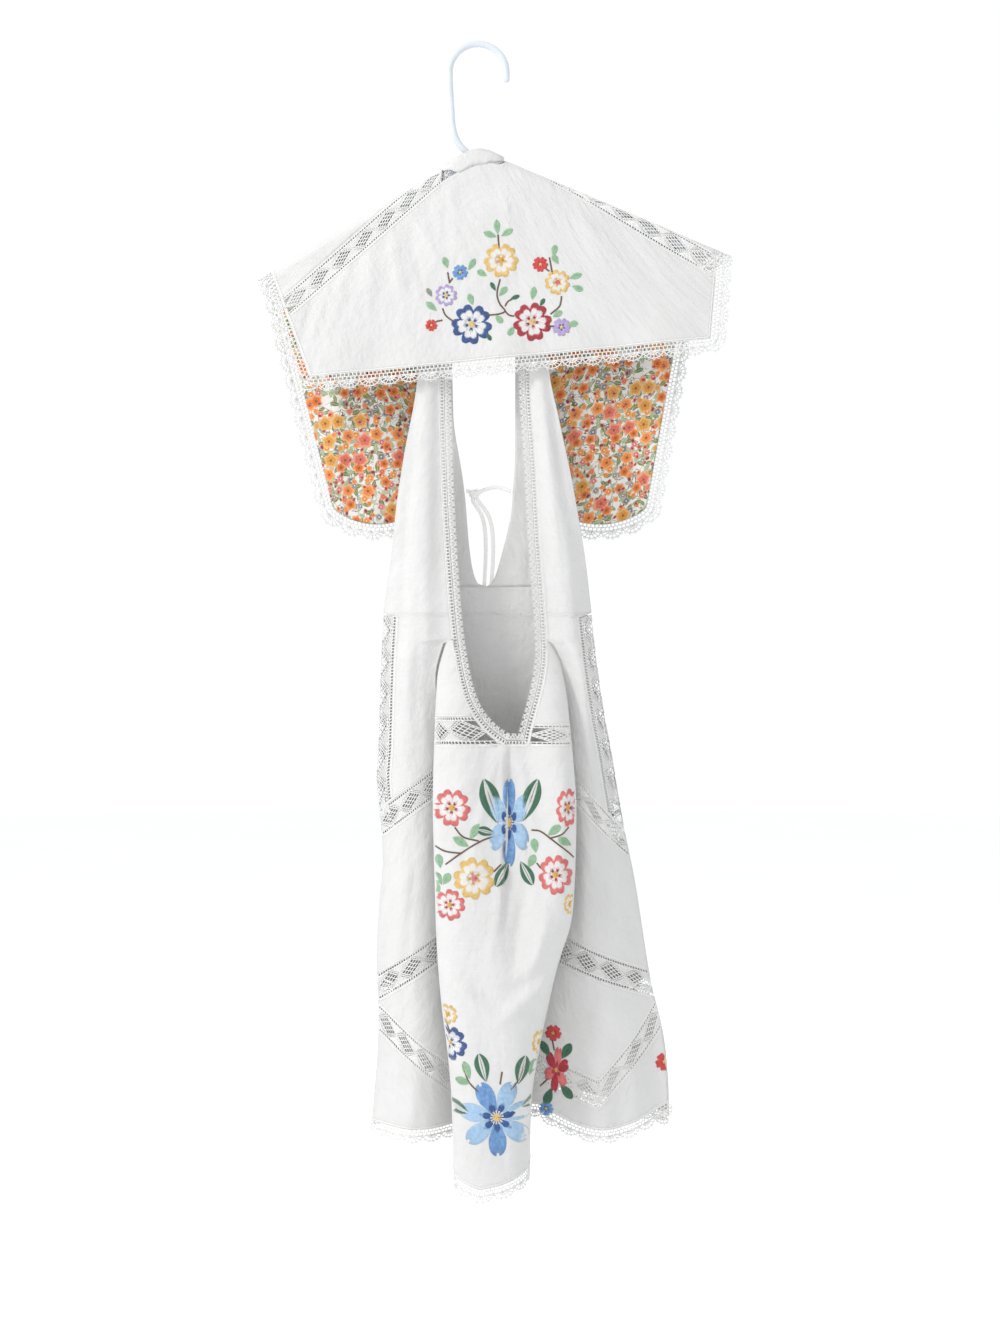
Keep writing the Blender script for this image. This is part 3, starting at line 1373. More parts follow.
class Needlework:
    """Stitches collected by colour, each a pair of places on the cloth."""

    def __init__(self):
        self.stitches = {}

    def add(self, colour, pairs, half=FLOSS):
        self.stitches.setdefault((colour, half), []).extend(pairs)

    def ray(self, colour, centre, angles, inner, outer, half=FLOSS, stretch=(1, 1)):
        """Stitches from inner to outer distance at each angle round a centre."""
        pairs = []
        inner = np.broadcast_to(inner, len(angles))
        outer = np.broadcast_to(outer, len(angles))
        for a, r0, r1 in zip(angles, inner, outer):
            way = np.array([math.cos(a) * stretch[0], math.sin(a) * stretch[1]])
            pairs.append((centre + way * r0, centre + way * r1))
        self.add(colour, pairs, half)

    def flower(self, x, z, r, rim, heart="white", middle="gold", turn=0.3, stretch=(1, 1)):
        """Five heart petals with a buttonhole rim, veins and a knotted middle."""
        centre = np.array([x, z], float)
        count = max(int(2 * math.pi * r / 1.0), 20)
        a = np.linspace(0, 2 * math.pi, count, endpoint=False)
        phase = np.abs((a - turn) * 5 / (2 * math.pi) % 1 - 0.5) * 2
        lobe = 1 - phase
        notch = 0.12 * np.clip(lobe - 0.72, 0, 1) / 0.28
        edge = r * (0.66 + 0.36 * np.sin(math.pi / 2 * np.clip(lobe * 2.1, 0, 1)) - notch)
        deep = np.where(np.arange(count) % 2 == 0, 0.7, 0.58)
        if r > 9:
            self.ray("white", centre, a, 0.3 * r, edge * 0.8, FLOSS, stretch)
            self.ray(heart, centre, a[::2], edge[::2] * 0.44, edge[::2] * 0.7, FLOSS * 0.8, stretch)
            self.ray(rim, centre, a, edge * deep, edge, FLOSS, stretch)
            gaps = [turn + k * 2 * math.pi / 5 + s for k in range(5) for s in (-0.07, 0.07)]
            self.ray(rim, centre, gaps, 0.3 * r, 0.68 * r, FLOSS * 0.8, stretch)
        else:
            self.ray(rim, centre, a, 0.25 * r, edge, FLOSS, stretch)
        veins = [turn + (k + 0.5) * 2 * math.pi / 5 + s for k in range(5) for s in (-0.2, 0, 0.2)]
        reach = [0.62 * r if i % 3 == 1 else 0.46 * r for i in range(15)]
        self.ray(VEIN_OF.get(rim, "navy"), centre, veins, 0.18 * r, reach, FLOSS, stretch)
        self.ray(middle, centre, np.linspace(0, 2 * math.pi, 12), 0.0, 0.2 * r, FLOSS, stretch)

    def daisy(self, x, z, r, petals, fill, stroke, middle="yellow", turn=0.2, stretch=(1, 1), notch=0.08):
        """Long pointed petals in satin stitch, with dark strokes at the heart."""
        centre = np.array([x, z], float)
        step = 2 * math.pi / petals
        rows = max(int(r * 0.42), 5)
        for k in range(petals):
            share = np.linspace(-1, 1, 2 * rows + 1)
            angles = turn + k * step + share * step * 0.43
            outer = r * (1 - 0.42 * np.abs(share) ** 2.2) - notch * r * (np.abs(share) < 0.12)
            tones = fill[k % len(fill)]
            self.ray(tones, centre, angles, 0.2 * r, outer, FLOSS * 1.15, stretch)
            closer = angles[::2] * 0.7 + (turn + k * step) * 0.3
            reach = r * (0.5 - 0.16 * np.abs(share[::2]))
            self.ray(stroke, centre, closer, 0.18 * r, reach, FLOSS, stretch)
        dots = np.linspace(0, 2 * math.pi, 14)
        self.ray(stroke, centre, dots, 0.1 * r, 0.22 * r, FLOSS, stretch)
        self.ray(middle, centre, dots, 0.0, 0.11 * r, FLOSS * 1.2, stretch)

    def leaf(self, x, z, angle, length, half, colour="mint", split=False):
        """Slanting stitches each side of a rib; a split leaf keeps its inside white."""
        a = math.radians(angle)
        way = np.array([math.cos(a), math.sin(a)])
        out = np.array([-way[1], way[0]])
        base = np.array([x, z], float) - way * length / 2
        pairs = []
        inner = []
        for t in np.arange(0.04, 0.98, 0.95 / length):
            wide = half * math.sin(math.pi * t) ** 0.8
            for side in (-1, 1):
                rib = base + way * length * t
                tip = base + way * length * min(t + 0.35 * wide / length, 1) + out * side * wide
                pairs.append((rib + (tip - rib) * (0.3 if split else 0.0), tip))
                inner.append((rib, rib + (tip - rib) * 0.34))
        self.add(colour, pairs)
        if split:
            self.add("white", inner)
        self.add(colour, [(base, base + way * length * 0.9)], FLOSS * 0.7)

    def stem(self, places, colour="brown"):
        """A line of stem stitch through places."""
        places = np.array(places, float)
        run = run_along(places)
        count = max(int(run[-1] / 1.6), 2)
        even = np.linspace(0, run[-1], count + 1)
        line = np.stack([through(list(zip(run, places[:, k])), even) for k in (0, 1)], -1)
        across = np.stack([-np.gradient(line[:, 1]), np.gradient(line[:, 0])], -1)
        across = across / np.linalg.norm(across, axis=1, keepdims=True) * 0.35
        self.add(colour, [(line[i] - across[i], line[i + 1] + across[i + 1]) for i in range(count)], 0.85)

    def make(self, name, place, keep=None):
        """The piece, from the stitches whose places keep(x, z) allows."""
        points = []
        faces = []
        which = []
        start = 0
        for (colour, half), pairs in self.stitches.items():
            lines = straight(pairs, 5)
            if keep is not None:
                lines = lines[keep(lines[..., 0], lines[..., 1]).all(axis=1)]
            if not len(lines):
                continue
            p, f = threads(place, [(lines, half)], STITCH_HEIGHT, 0.3, 0.25)
            points.append(p)
            faces.append(f + start)
            which += [SILK_NAMES.index(colour)] * len(f)
            start += len(p)
        return make_object(name, np.concatenate(points), np.concatenate(faces), SILK, None, which)


def cape_embroidery():
    work = Needlework()
    for line in (
        [(21, -204), (20, -190)],
        [(22, -235), (19, -250), (22, -260), (27, -267), (20, -270), (8, -271)],
        [(27, -267), (31, -271), (36, -272)],
        [(27, -262), (30, -257), (34, -255)],
        [(71, -213), (74, -230)],
        [(68, -225), (71, -227)],
        [(83, -252), (81, -262), (72, -270)],
        [(-30, -228), (-28, -239)],
        [(-25, -234), (-28, -238)],
        [(-35, -264), (-32, -271), (-23, -278)],
        [(-41, -277), (-35, -276)],
        [(67, -282), (76, -282)],
    ):
        work.stem(line)
    for x, z, angle, length in (
        (19, -182, 95, 12), (12, -190, 160, 11), (29, -188, 30, 11),
        (4, -229, 150, 9), (25, -247, 50, 10),
        (-7, -255, 110, 10), (55, -249, 80, 11), (77, -215, 120, 9),
        (76, -206, 80, 10), (97, -232, 20, 11),
        (99, -244, -20, 10), (-46, -262, 140, 11), (-32, -218, 110, 10), (-6, -220, 60, 11),
        (21, -275, -50, 9), (33, -287, -120, 9), (79, -270, 30, 9), (94, -280, 10, 9),
    ):
        work.leaf(x, z, angle, length * 1.2, 3.2)
    work.leaf(-48, -248, 120, 10, 2.4, "sage")
    for x, z, angle, length in (
        (15, -242, 120, 10), (37, -253, 20, 10), (64, -258, 60, 9), (11, -293, -60, 9),
    ):
        work.leaf(x, z, angle, length, 2.2, "leaf")
    work.flower(23, -216, 17, "yellow", "yellow", "gold", 0.35)
    work.flower(79, -238, 12.5, "yellow", "yellow", "coral", 0.1)
    work.flower(62, -220, 7.7, "red", middle="yellow")
    work.flower(-17.5, -228, 7.7, "blue", middle="yellow")
    work.flower(-31.5, -251, 10.8, "lilac", "lilac", "yellow", 0.6)
    work.flower(-6, -280, 19.8, "navy", "blue", "yellow", 0.2)
    work.flower(54, -277.6, 19, "crimson", "coral", "yellow", 0.5)
    work.flower(83, -283, 9, "lilac", middle="yellow")
    work.flower(-46, -281, 6, "red", middle="yellow")

    def place(flat):
        x = flat[..., 0]
        return surface_frame(cape_point, x, front_s(x, flat[..., 1]))

    return work.make("cape_embroidery", place)


def front_embroidery():
    work = Needlework()
    for line in (
        [(23, -783), (4, -789), (-16, -801), (-31, -812)],
        [(-22, -776), (-14, -785), (1, -789)],
        [(-44, -793), (-32, -799), (-16, -801)],
        [(53, -779), (61, -780), (70, -786), (88, -800), (95, -807)],
        [(89, -776), (82, -783), (70, -787)],
        [(23, -812), (16, -819)],
        [(58, -811), (62, -816)],
        [(-31, -962), (-26, -975)],
        [(-14, -1004), (-8, -1020), (2, -1030)],
        [(24, -1010), (22, -1022)],
        [(48, -1000), (40, -1018), (32, -1028)],
    ):
        work.stem(line)
    for x, z, angle, length in (
        (-3, -780, 60, 15), (-16, -790, 150, 15), (75, -779, 40, 14),
        (85, -790, 150, 13), (-37, -809, 100, 12),
        (-38, -826, 120, 12), (-30, -826, 60, 11), (-40, -837, 80, 11),
        (56, -794, 100, 12), (53, -809, 60, 12),
        (-10, -1009, 110, 15), (-14, -1020, 170, 13), (53, -1008, 70, 14),
    ):
        work.leaf(x, z, angle, length * 1.15, 4.0)
    for x, z, angle, length, half in (
        (13, -751, 108, 46, 9.5), (52, -750, 70, 44, 8.5),
        (24, -822, -118, 26, 6), (48, -821, -62, 26, 6),
        (8, -780, 165, 18, 4.5), (5, -1006, 105, 28, 7),
        (43, -1009, 75, 28, 7), (-19, -1046, 160, 24, 6.5),
        (53, -1041, 20, 22, 6),
    ):
        work.leaf(x, z, angle, length, half, "leaf", split=True)
    work.flower(-25, -757, 18, "coral", "pink", "gold", 0.25)
    work.flower(88, -757, 18, "coral", "pink", "gold", 0.5, (0.62, 1))
    work.flower(-3, -825, 20, "yellow", "yellow", "coral", 0.1)
    work.flower(76, -822, 19, "coral", "pink", "gold", 0.45, (0.85, 1))
    work.flower(-27, -851, 15, "coral", "pink", "gold", 0.7)
    work.flower(90, -851, 10, "yellow", "yellow", "gold", 0.3, (0.6, 1))
    work.daisy(31, -772, 43, 6, ("sky", "blue", "sky"), "navy", turn=math.pi / 6, stretch=(0.5, 1.0))
    work.flower(-29, -957, 10, "yellow", "yellow", "gold", 0.2)
    work.flower(-27, -985, 17, "navy", "blue", "yellow", 0.3)
    work.flower(60, -985, 12, "yellow", "yellow", "gold", 0.3, (0.6, 1))
    work.daisy(19, -1054, 37, 7, ("sky", "sky", "blue"), "navy", turn=0.25)

    def keep(x, z):
        return (x > front_left(z) + 1.5) & (x < front_right(z) - 1.5) & (z > -1112)

    return work.make("front_panel_embroidery", flat_on(on_front), keep)


def side_embroidery():
    work = Needlework()
    for line in ([(74, -990), (76, -1000)], [(62, -1036), (70, -1028)]):
        work.stem(line)
    for x, z, angle, length, half in (
        (67, -999, 120, 18, 4), (88, -1000, 60, 18, 4.5),
        (70, -1046, -110, 18, 4.5), (88, -1040, -50, 18, 4.5),
    ):
        work.leaf(x, z, angle, length, half, "leaf")
    work.daisy(78, -1019, 23, 6, ("crimson", "coral"), "crimson", "gold", 0.3, (0.55, 1.0))
    work.flower(75, -983, 8, "red", middle="gold")
    work.flower(68, -1058, 7, "blue", middle="yellow")
    work.flower(186, -1014, 9, "red", middle="gold")

    def keep(x, z):
        return (x > side_inner(1, z) + 1.0) & (x < right_side(z) - 1.0)

    place = flat_on(lambda x, z: side_point(1, x, z))
    return work.make("right_hem_embroidery", place, keep)


def back_embroidery():
    """A spray on the outside of the back, whose colours show faintly through it."""
    work = Needlework()
    work.stem([(30, -560), (34, -585), (30, -610), (38, -632)])
    work.stem([(34, -585), (44, -596)])
    for x, z, angle, length in (
        (26, -572, 150, 14), (42, -578, 40, 13), (24, -616, 200, 14), (46, -618, 20, 13),
    ):
        work.leaf(x, z, angle, length, 3.2)
    work.flower(30, -548, 14, "coral", "pink", "gold", 0.3)
    work.flower(52, -604, 13, "coral", "pink", "gold", 0.6)
    work.flower(40, -642, 16, "yellow", "yellow", "coral", 0.1)
    return work.make("back_embroidery", flat_on(back_point, -1))


# ------------------------------------------------------------------ tubes: hanger, ties and knot
def route(places, spacing):
    """A smooth line through places, with a point about every spacing millimetres."""
    places = np.array(places, float)
    run = np.concatenate([[0], np.cumsum(np.linalg.norm(np.diff(places, axis=0), axis=1) ** 0.5)])
    fine = np.linspace(0, run[-1], 40 * len(places))
    line = np.stack([through(list(zip(run, places[:, k])), fine) for k in range(3)], -1)
    far = run_along(line)
    even = np.linspace(0, far[-1], max(int(far[-1] / spacing), 3))
    return interpolated(even, far, line)


def tube_mesh(line, radius, sides=16, round_ends=True):
    """A closed tube along a line, with rounded ends: points and faces."""
    tangent = unit(np.gradient(line, axis=0))
    side = unit(np.cross(tangent[0], (0.3, 1, 0.2)))
    sides_at = []
    for t in tangent:
        side = unit(side - t * np.dot(side, t))
        sides_at.append(side)
    side = np.array(sides_at)
    up = np.cross(tangent, side)
    sizes = np.full(len(line), float(radius))
    if round_ends:
        cap = [(math.sin(a), math.cos(a)) for a in np.radians((15, 35, 55, 75))]
        head = [line[0] - tangent[0] * radius * c for s, c in cap]
        tail = [line[-1] + tangent[-1] * radius * c for s, c in reversed(cap)]
        line = np.concatenate([head, line, tail])
        narrow = [radius * s for s, c in cap]
        sizes = np.concatenate([narrow, sizes, narrow[::-1]])
        side = np.concatenate([np.repeat(side[:1], 4, 0), side, np.repeat(side[-1:], 4, 0)])
        up = np.concatenate([np.repeat(up[:1], 4, 0), up, np.repeat(up[-1:], 4, 0)])
    a = np.linspace(0, 2 * math.pi, sides, endpoint=False)
    ring = side[:, None] * np.cos(a)[None, :, None] + up[:, None] * np.sin(a)[None, :, None]
    points = (line[:, None] + ring * sizes[:, None, None]).reshape(-1, 3)
    index = np.arange(len(line) * sides).reshape(-1, sides)
    after = np.roll(index, -1, axis=1)
    wall = np.stack([index[:-1], after[:-1], after[1:], index[1:]], -1).reshape(-1, 4)
    return points, [*wall.tolist(), index[0, ::-1].tolist(), index[-1].tolist()]


def arm_places(side, slope):
    end_x = NECK_X + side * ARM_LENGTH * math.cos(slope)
    end_z = float(ridge(np.float64(end_x)))
    cx = end_x - side * TIP_BEND * math.sin(slope)
    cz = end_z - TIP_BEND * math.cos(slope)
    start = math.pi / 2 - side * slope
    to = -math.pi / 2 + HANG_TILT
    turn = to + 2 * math.pi - start if side < 0 else to - start
    angles = start + turn * np.arange(7) / 6
    bend = [(cx + TIP_BEND * math.cos(a), 0, cz + TIP_BEND * math.sin(a)) for a in angles]
    xs = [lerp(NECK_X, end_x, k) for k in (0.08, 0.18, 0.4, 0.65, 0.9)]
    return [*[(x, 0, float(ridge(np.float64(x)))) for x in xs], *bend]


def make_hanger():
    """One moulding: hook, neck, arms and bar melted together, with soft edges where they join."""
    left = arm_places(-1, SLOPE_LEFT)
    right = arm_places(1, SLOPE_RIGHT)
    top = (NECK_X, 0, float(ridge(np.float64(NECK_X))))
    crown = -HOOK_BEND + HOOK_TUBE / 2
    angles = math.pi * (1 - np.arange(13) / 12)
    bend = [(HOOK_BEND * math.cos(a), 0, crown + HOOK_BEND * math.sin(a)) for a in angles]
    stem = [(across * HOOK_BEND, 0, lerp(NECK_Z, crown, up)) for across, up in (
        (-0.3, 0.11), (-0.66, 0.22), (-0.87, 0.38), (-0.94, 0.62),
    )]
    tip = (HOOK_BEND, 0, crown - HOOK_TUBE)
    bar_middle = lerp(np.array(left[-1]), np.array(right[-1]), 0.5)
    parts = [
        tube_mesh(route([*left[::-1], top, *right], 2), ARM_TUBE / 2),
        tube_mesh(route([left[-1], bar_middle, right[-1]], 3), BAR_TUBE / 2),
        tube_mesh(route([top, *stem, *bend, tip], 2), HOOK_TUBE / 2, 20),
    ]
    points = []
    faces = []
    for p, f in parts:
        faces += [[i + len(points) for i in face] for face in f]
        points += p.tolist()
    mesh = bpy.data.meshes.new("hanger_moulding")
    mesh.from_pydata((np.array(points) * MM).tolist(), [], faces)
    draft = link("hanger_draft", mesh)
    melt = draft.modifiers.new("melt", "REMESH")
    melt.mode = "VOXEL"
    melt.voxel_size = 0.9 * MM
    melt.use_smooth_shade = True
    soften = draft.modifiers.new("soften", "SMOOTH")
    soften.factor = 0.5
    soften.iterations = 6
    done = bpy.data.meshes.new_from_object(draft.evaluated_get(bpy.context.evaluated_depsgraph_get()))
    bpy.data.objects.remove(draft)
    done.materials.clear()
    done.materials.append(PLASTIC)
    return link("hanger_moulding", done)


TIE_Z = z_at(0.322)
KNOT_SIZE = 2.6 * TIE
KNOT = (float(scoop_left(TIE_Z)) + 9.5, float(strap_stand(TIE_Z)), TIE_Z - 3)


def tie_fall(offset, reach, behind):
    """From under the knot to the free end, behind the back panel."""
    low = KNOT[2] - 0.6 * KNOT_SIZE - 0.5

    def stand(z):
        return float(back_stand(z)) + 0.5 + TIE / 2 + behind

    return [(KNOT[0] + x, y, low + drop * TIE_FALL) for x, drop, y in (
        (offset, 0, KNOT[1]),
        (offset + 0.75 * reach, -0.09, KNOT[1] + 2),
        (offset + reach, -0.24, stand(low - 0.2 * TIE_FALL)),
        (offset + 0.85 * reach, -0.5, stand(low - 0.5 * TIE_FALL)),
        (offset + 0.8 * reach, -0.75, stand(low - 0.75 * TIE_FALL)),
        (offset + 0.9 * reach, -1, stand(low - TIE_FALL)),
    )]


def make_cord(name, places, radius):
    """A stitched cotton tie as a curve of one open spline; gives the curve and its length in metres."""
    line = route(places, 2.0) * MM
    data = bpy.data.curves.new(name, "CURVE")
    data.dimensions = "3D"
    data.bevel_depth = radius * MM
    data.bevel_resolution = 4
    data.use_fill_caps = True
    spline = data.splines.new("POLY")
    spline.points.add(len(line) - 1)
    for spot, place in zip(spline.points, line):
        spot.co = (*place, 1)
    data.materials.append(TIE_COTTON)
    return link(name, data), line


def make_knot():
    """Two turns of the tie round itself."""
    a = np.linspace(0, 4.6 * math.pi, 70)
    radius = 3.3 + 0.3 * np.sin(a * 0.5)
    line = np.stack([
        KNOT[0] + radius * np.cos(a), KNOT[1] + radius * 0.75 * np.sin(a), KNOT[2] + 3.6 - 7.2 * a / a[-1],
    ], -1)
    points, faces = tube_mesh(line, TIE / 2 * 0.95, 12)
    mesh = bpy.data.meshes.new("knot_wraps")
    mesh.from_pydata((points * MM).tolist(), [], faces)
    mesh.polygons.foreach_set("use_smooth", [True] * len(mesh.polygons))
    mesh.materials.append(TIE_COTTON)
    return link("knot_wraps", mesh)


def plain_cotton(name, low, high, scale, bump_scale, strength):
    nodes = Nodes(name, 0.85, Sheen_Weight=0.25, Specular_IOR_Level=0.25)
    at = nodes.object_mm()
    colour = nodes.shades(nodes.noise(at, scale, 3.0), low, high)
    return nodes.finish(colour, nodes.bump(nodes.noise(at, bump_scale, 2.0), 0.0004, strength))


TIE_COTTON = plain_cotton("tie_cotton", (0.8, 0.79, 0.77), (0.88, 0.87, 0.85), 0.5, 2.2, 0.5)
HEM_COTTON = plain_cotton("hem_cotton", (0.67, 0.665, 0.65), (0.73, 0.725, 0.71), 0.7, 1.6, 0.4)


# ------------------------------------------------------------------ assembly
ROOT = "hanger_and_cape"
DRESS = "dress"
FRONT_FLAP = "front_cape_flap"
BACK_FLAP = {-1: "left_back_flap", 1: "right_back_flap"}
SIDES = {-1: "left", 1: "right"}
TRIMS = {}


STITCH = 2.3
STITCH_PITCH = 3.4
FAN_PITCH = 20
PICOT_PITCH = 6.6


def put(obj, nodes, slot, body=DRESS, flap=None, front=True):
    """Says what a piece stands for and rides on: one body, or bending from it to a flap's."""
    if flap is None:
        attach(obj, body)
    else:
        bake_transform(obj)
    if nodes:
        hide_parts(*nodes)
    return obj


def add_cloth(name, nodes, at, columns, rows, slot="white_cotton", material=COTTON, rests_on=(), **where):
    obj = put(cloth(name, at, columns, rows, material), nodes, slot, **where)
    TRIMS.setdefault(name, [])
    return obj


def add_trim(obj, sewn_to, nodes=(), slot="white_lace", **where):
    """A piece sewn to a cloth, which goes with that cloth's sheet."""
    put(obj, nodes, slot, **where)
    TRIMS.setdefault(sewn_to, []).append(obj)
    return obj


def stitched_folds(name, place, folds, fold_width, fold_height, stitches, stitch_high, **where):
    """Turned-back cloth as flat folds, with a row of stitches on each."""
    p, f = threads(place, [(folds, fold_width)], fold_height)
    q, g = threads(place, [(straight(stitches, 3), 0.22)], 0.3, stitch_high, 0.12)
    obj = make_object(name, np.concatenate([p, q]), np.concatenate([f, g + len(p)]), [HEM_COTTON])
    return add_trim(obj, slot="white_cotton", **where)


def stitch_row(starts, v):
    return [[(s, v), (s + STITCH, v)] for s in starts]


def hem_stitches(name, edge, span, inward=2.4, **where):
    """The turned hem beside an edging."""
    length = span[1] - span[0]
    run = np.linspace(0, length, max(int(length / 3), 3))
    fold = np.stack([run, np.full(len(run), -inward / 2)], -1)[None]
    stitches = stitch_row(np.arange(1.5, length - 3, STITCH_PITCH), -inward)
    return stitched_folds(
        name, place_along(edge, span[0]), fold, inward / 2 + 0.2, 0.55, stitches, 0.4, **where,
    )


def seam_folds(name, at, flip=False, **where):
    """The cloth turned back along both edges of an insertion."""
    length = strip_length(at)
    run = np.linspace(2, length - 2, max(int(length / 4), 3))
    folds = np.stack([np.stack([run, np.full(len(run), v)], -1) for v in (-1.0, NET_WIDTH + 1.0)])
    starts = np.arange(2.5, length - 4, STITCH_PITCH)
    stitches = stitch_row(starts, -1.9) + stitch_row(starts, NET_WIDTH + 1.9)
    place = place_on(at, length, NET_WIDTH, flip)
    return stitched_folds(name, place, folds, 1.3, 0.5, stitches, 0.35, **where)


def add_insertion(name, node, at, flip=False, **where):
    """at(u, v) runs along the strip with u and from its lower or outer edge across with v."""
    add_trim(net_lace(name, at, flip), nodes=[node], **where)
    seam_folds(name.replace("_net", "_seams"), at, flip, **where)


def add_edging(name, hem, node, edge, span, width, **where):
    """Fans sewn along part of an edge, and the turned hem beside them."""
    add_trim(edge_lace(name, edge, span, fan_tile, FAN_PITCH, width), nodes=[node], **where)
    hem_stitches(hem, edge, span, **where)


def add_hem(word, edge, sewn_to):
    """The fans and the turned hem all along a bottom edge."""
    start = f"{word}_hem"
    span = (0.0, edge[0][-1])
    add_edging(f"{start}_fans", f"{start}_stitches", f"{start}_lace", edge, span, HEM_LACE, sewn_to=sewn_to)


# The ties come first.
def add_ties():
    left_edge = float(scoop_left(TIE_Z))
    right_edge = float(scoop_right(TIE_Z))
    left = [
        (left_edge + 1.7, KNOT[1], TIE_Z), (left_edge + 5.5, KNOT[1], TIE_Z - 0.5),
        (KNOT[0] - 0.6, KNOT[1], KNOT[2] - 3.0), *tie_fall(-1, 13, 3),
    ]
    right = [
        (right_edge - 1.7, KNOT[1], TIE_Z),
        (lerp(right_edge - 1.7, KNOT[0] + 6.8, 0.5), KNOT[1], TIE_Z + 4),
        (KNOT[0] + 6.8, KNOT[1], KNOT[2] + 2.6), (KNOT[0] + 3.0, KNOT[1], KNOT[2] - 2.2),
        *tie_fall(4.5, 15, 0.6),
    ]
    knot = put(make_knot(), ["tie_knot"], "white_cotton")
    for name, places, nodes, extra in (
        ("left_tie_cord", left, ["left_tie", "left_tie_end"], [knot]),
        ("right_tie_cord", right, ["right_tie", "right_tie_end"], []),
    ):
        obj, line = make_cord(name, places, TIE / 2)
        put(obj, nodes, "white_cotton")


def cape_outline():
    """The cape's whole edge: up the left back flap's inside, round it, over the arm and round the front."""
    t = np.linspace(0, 1, 80)
    gap = LIFT_BLEND - 1

    def flap_part(side):
        inner_x = lerp(back_inner(side), flap_bottom(side, 1.0)[0], t)
        inner_z = lerp(fold_line(back_inner(side)) + gap, flap_bottom(side, 1.0)[1], t)
        bottom = flap_bottom(side, 1 - t)
        outer_x = lerp(flap_bottom(side, 0.0)[0], back_outer(side), t)
        outer_z = lerp(flap_bottom(side, 0.0)[1], fold_line(back_outer(side)), t)
        x = np.concatenate([inner_x, bottom[0][1:], outer_x[1:]])
        z = np.concatenate([inner_z, bottom[1][1:], outer_z[1:]])
        return x, back_s(x, z)

    def over(side):
        far = cape_far(side)
        high = back_s(back_outer(side), fold_line(back_outer(side)))
        low = front_s(far, fold_line(far) - FRONT_FLAP_DROP)
        for _ in range(6):
            x = end_of(side)(low)
            low = front_s(x, fold_line(x) - FRONT_FLAP_DROP)
        s = lerp(float(high), float(low), np.linspace(0, 1, 160))[1:]
        return end_of(side)(s), s

    left = [np.concatenate(pair) for pair in zip(flap_part(-1), over(-1))]
    right = [np.concatenate(pair)[::-1] for pair in zip(flap_part(1), over(1))]
    x = np.linspace(left[0][-1], right[0][0], 160)[1:-1]
    bottom = [x, front_s(x, fold_line(x) - FRONT_FLAP_DROP)]
    return [np.concatenate(parts) for parts in zip(left, bottom, right)]


def add_cape():
    hanger = put(make_hanger(), ["hanger"], "white_plastic", body=ROOT)
    on = [hanger.name]
    front = "cape_front_cloth"
    add_cloth(
        front, ["cape_front_yoke", "cape_front_flap"], cape_front_at, 170, 70,
        rests_on=on, body=ROOT, flap=FRONT_FLAP,
    )
    band = cloth("neck_band_cloth", neck_band_at, 72, 4, COTTON, 1.4)
    add_trim(band, front, ["neck_band"], "white_cotton", body=ROOT)
    for side, word in SIDES.items():
        outer = f"{word}_back_cloth"
        flap = BACK_FLAP[side]
        add_cloth(
            outer, [f"cape_{word}_shoulder", f"{word}_back_flap"], back_cloth_at(side), 60, 90,
            rests_on=on, body=ROOT, flap=flap, front=False,
        )
        add_cloth(
            f"{word}_lining_cloth", [f"{word}_back_flap_lining"], lining_at(side), 56, 64,
            "floral_cotton", FLORAL, rests_on=[outer], body=ROOT, flap=flap, front=False,
        )
        add_insertion(
            f"cape_{word}_net", f"cape_{word}_insertion_lace", cape_insertion_at(side), side < 0,
            sewn_to=front, body=ROOT,
        )
    x, s = cape_outline()
    places, normals = surface_frame(cape_point, x, s)
    edge = sewn_edge(places, normals, 1)
    run, p = edge[0], edge[1]
    above = p[:, 2] > fold_line(p[:, 0]) + LIFT_BLEND + 1
    left_back, left_front, right_front, right_back = run[1:][above[1:] != above[:-1]]
    for name, node, span, cloth_name, flap in (
        ("left_flap_edging", "left_back_flap_edging", (0.0, left_back), "left_back_cloth", BACK_FLAP[-1]),
        ("cape_left_edge", "cape_left_end_lace", (left_back, left_front), front, None),
        ("cape_front_edge", "cape_front_edging", (left_front, right_front), front, FRONT_FLAP),
        ("cape_right_edge", "cape_right_end_lace", (right_front, right_back), front, None),
        ("right_flap_edging", "right_back_flap_edging", (right_back, run[-1]), "right_back_cloth",
         BACK_FLAP[1]),
    ):
        add_edging(
            f"{name}_lace", f"{name}_hem", node, edge, span, EDGING,
            sewn_to=cloth_name, body=ROOT, flap=flap, front=cloth_name == front,
        )
    add_trim(cape_embroidery(), front, slot=None, body=ROOT, flap=FRONT_FLAP)


def turned(at):
    """The same strip with u and v changed over, so that u runs down it."""
    return lambda u, v: at(v, u)


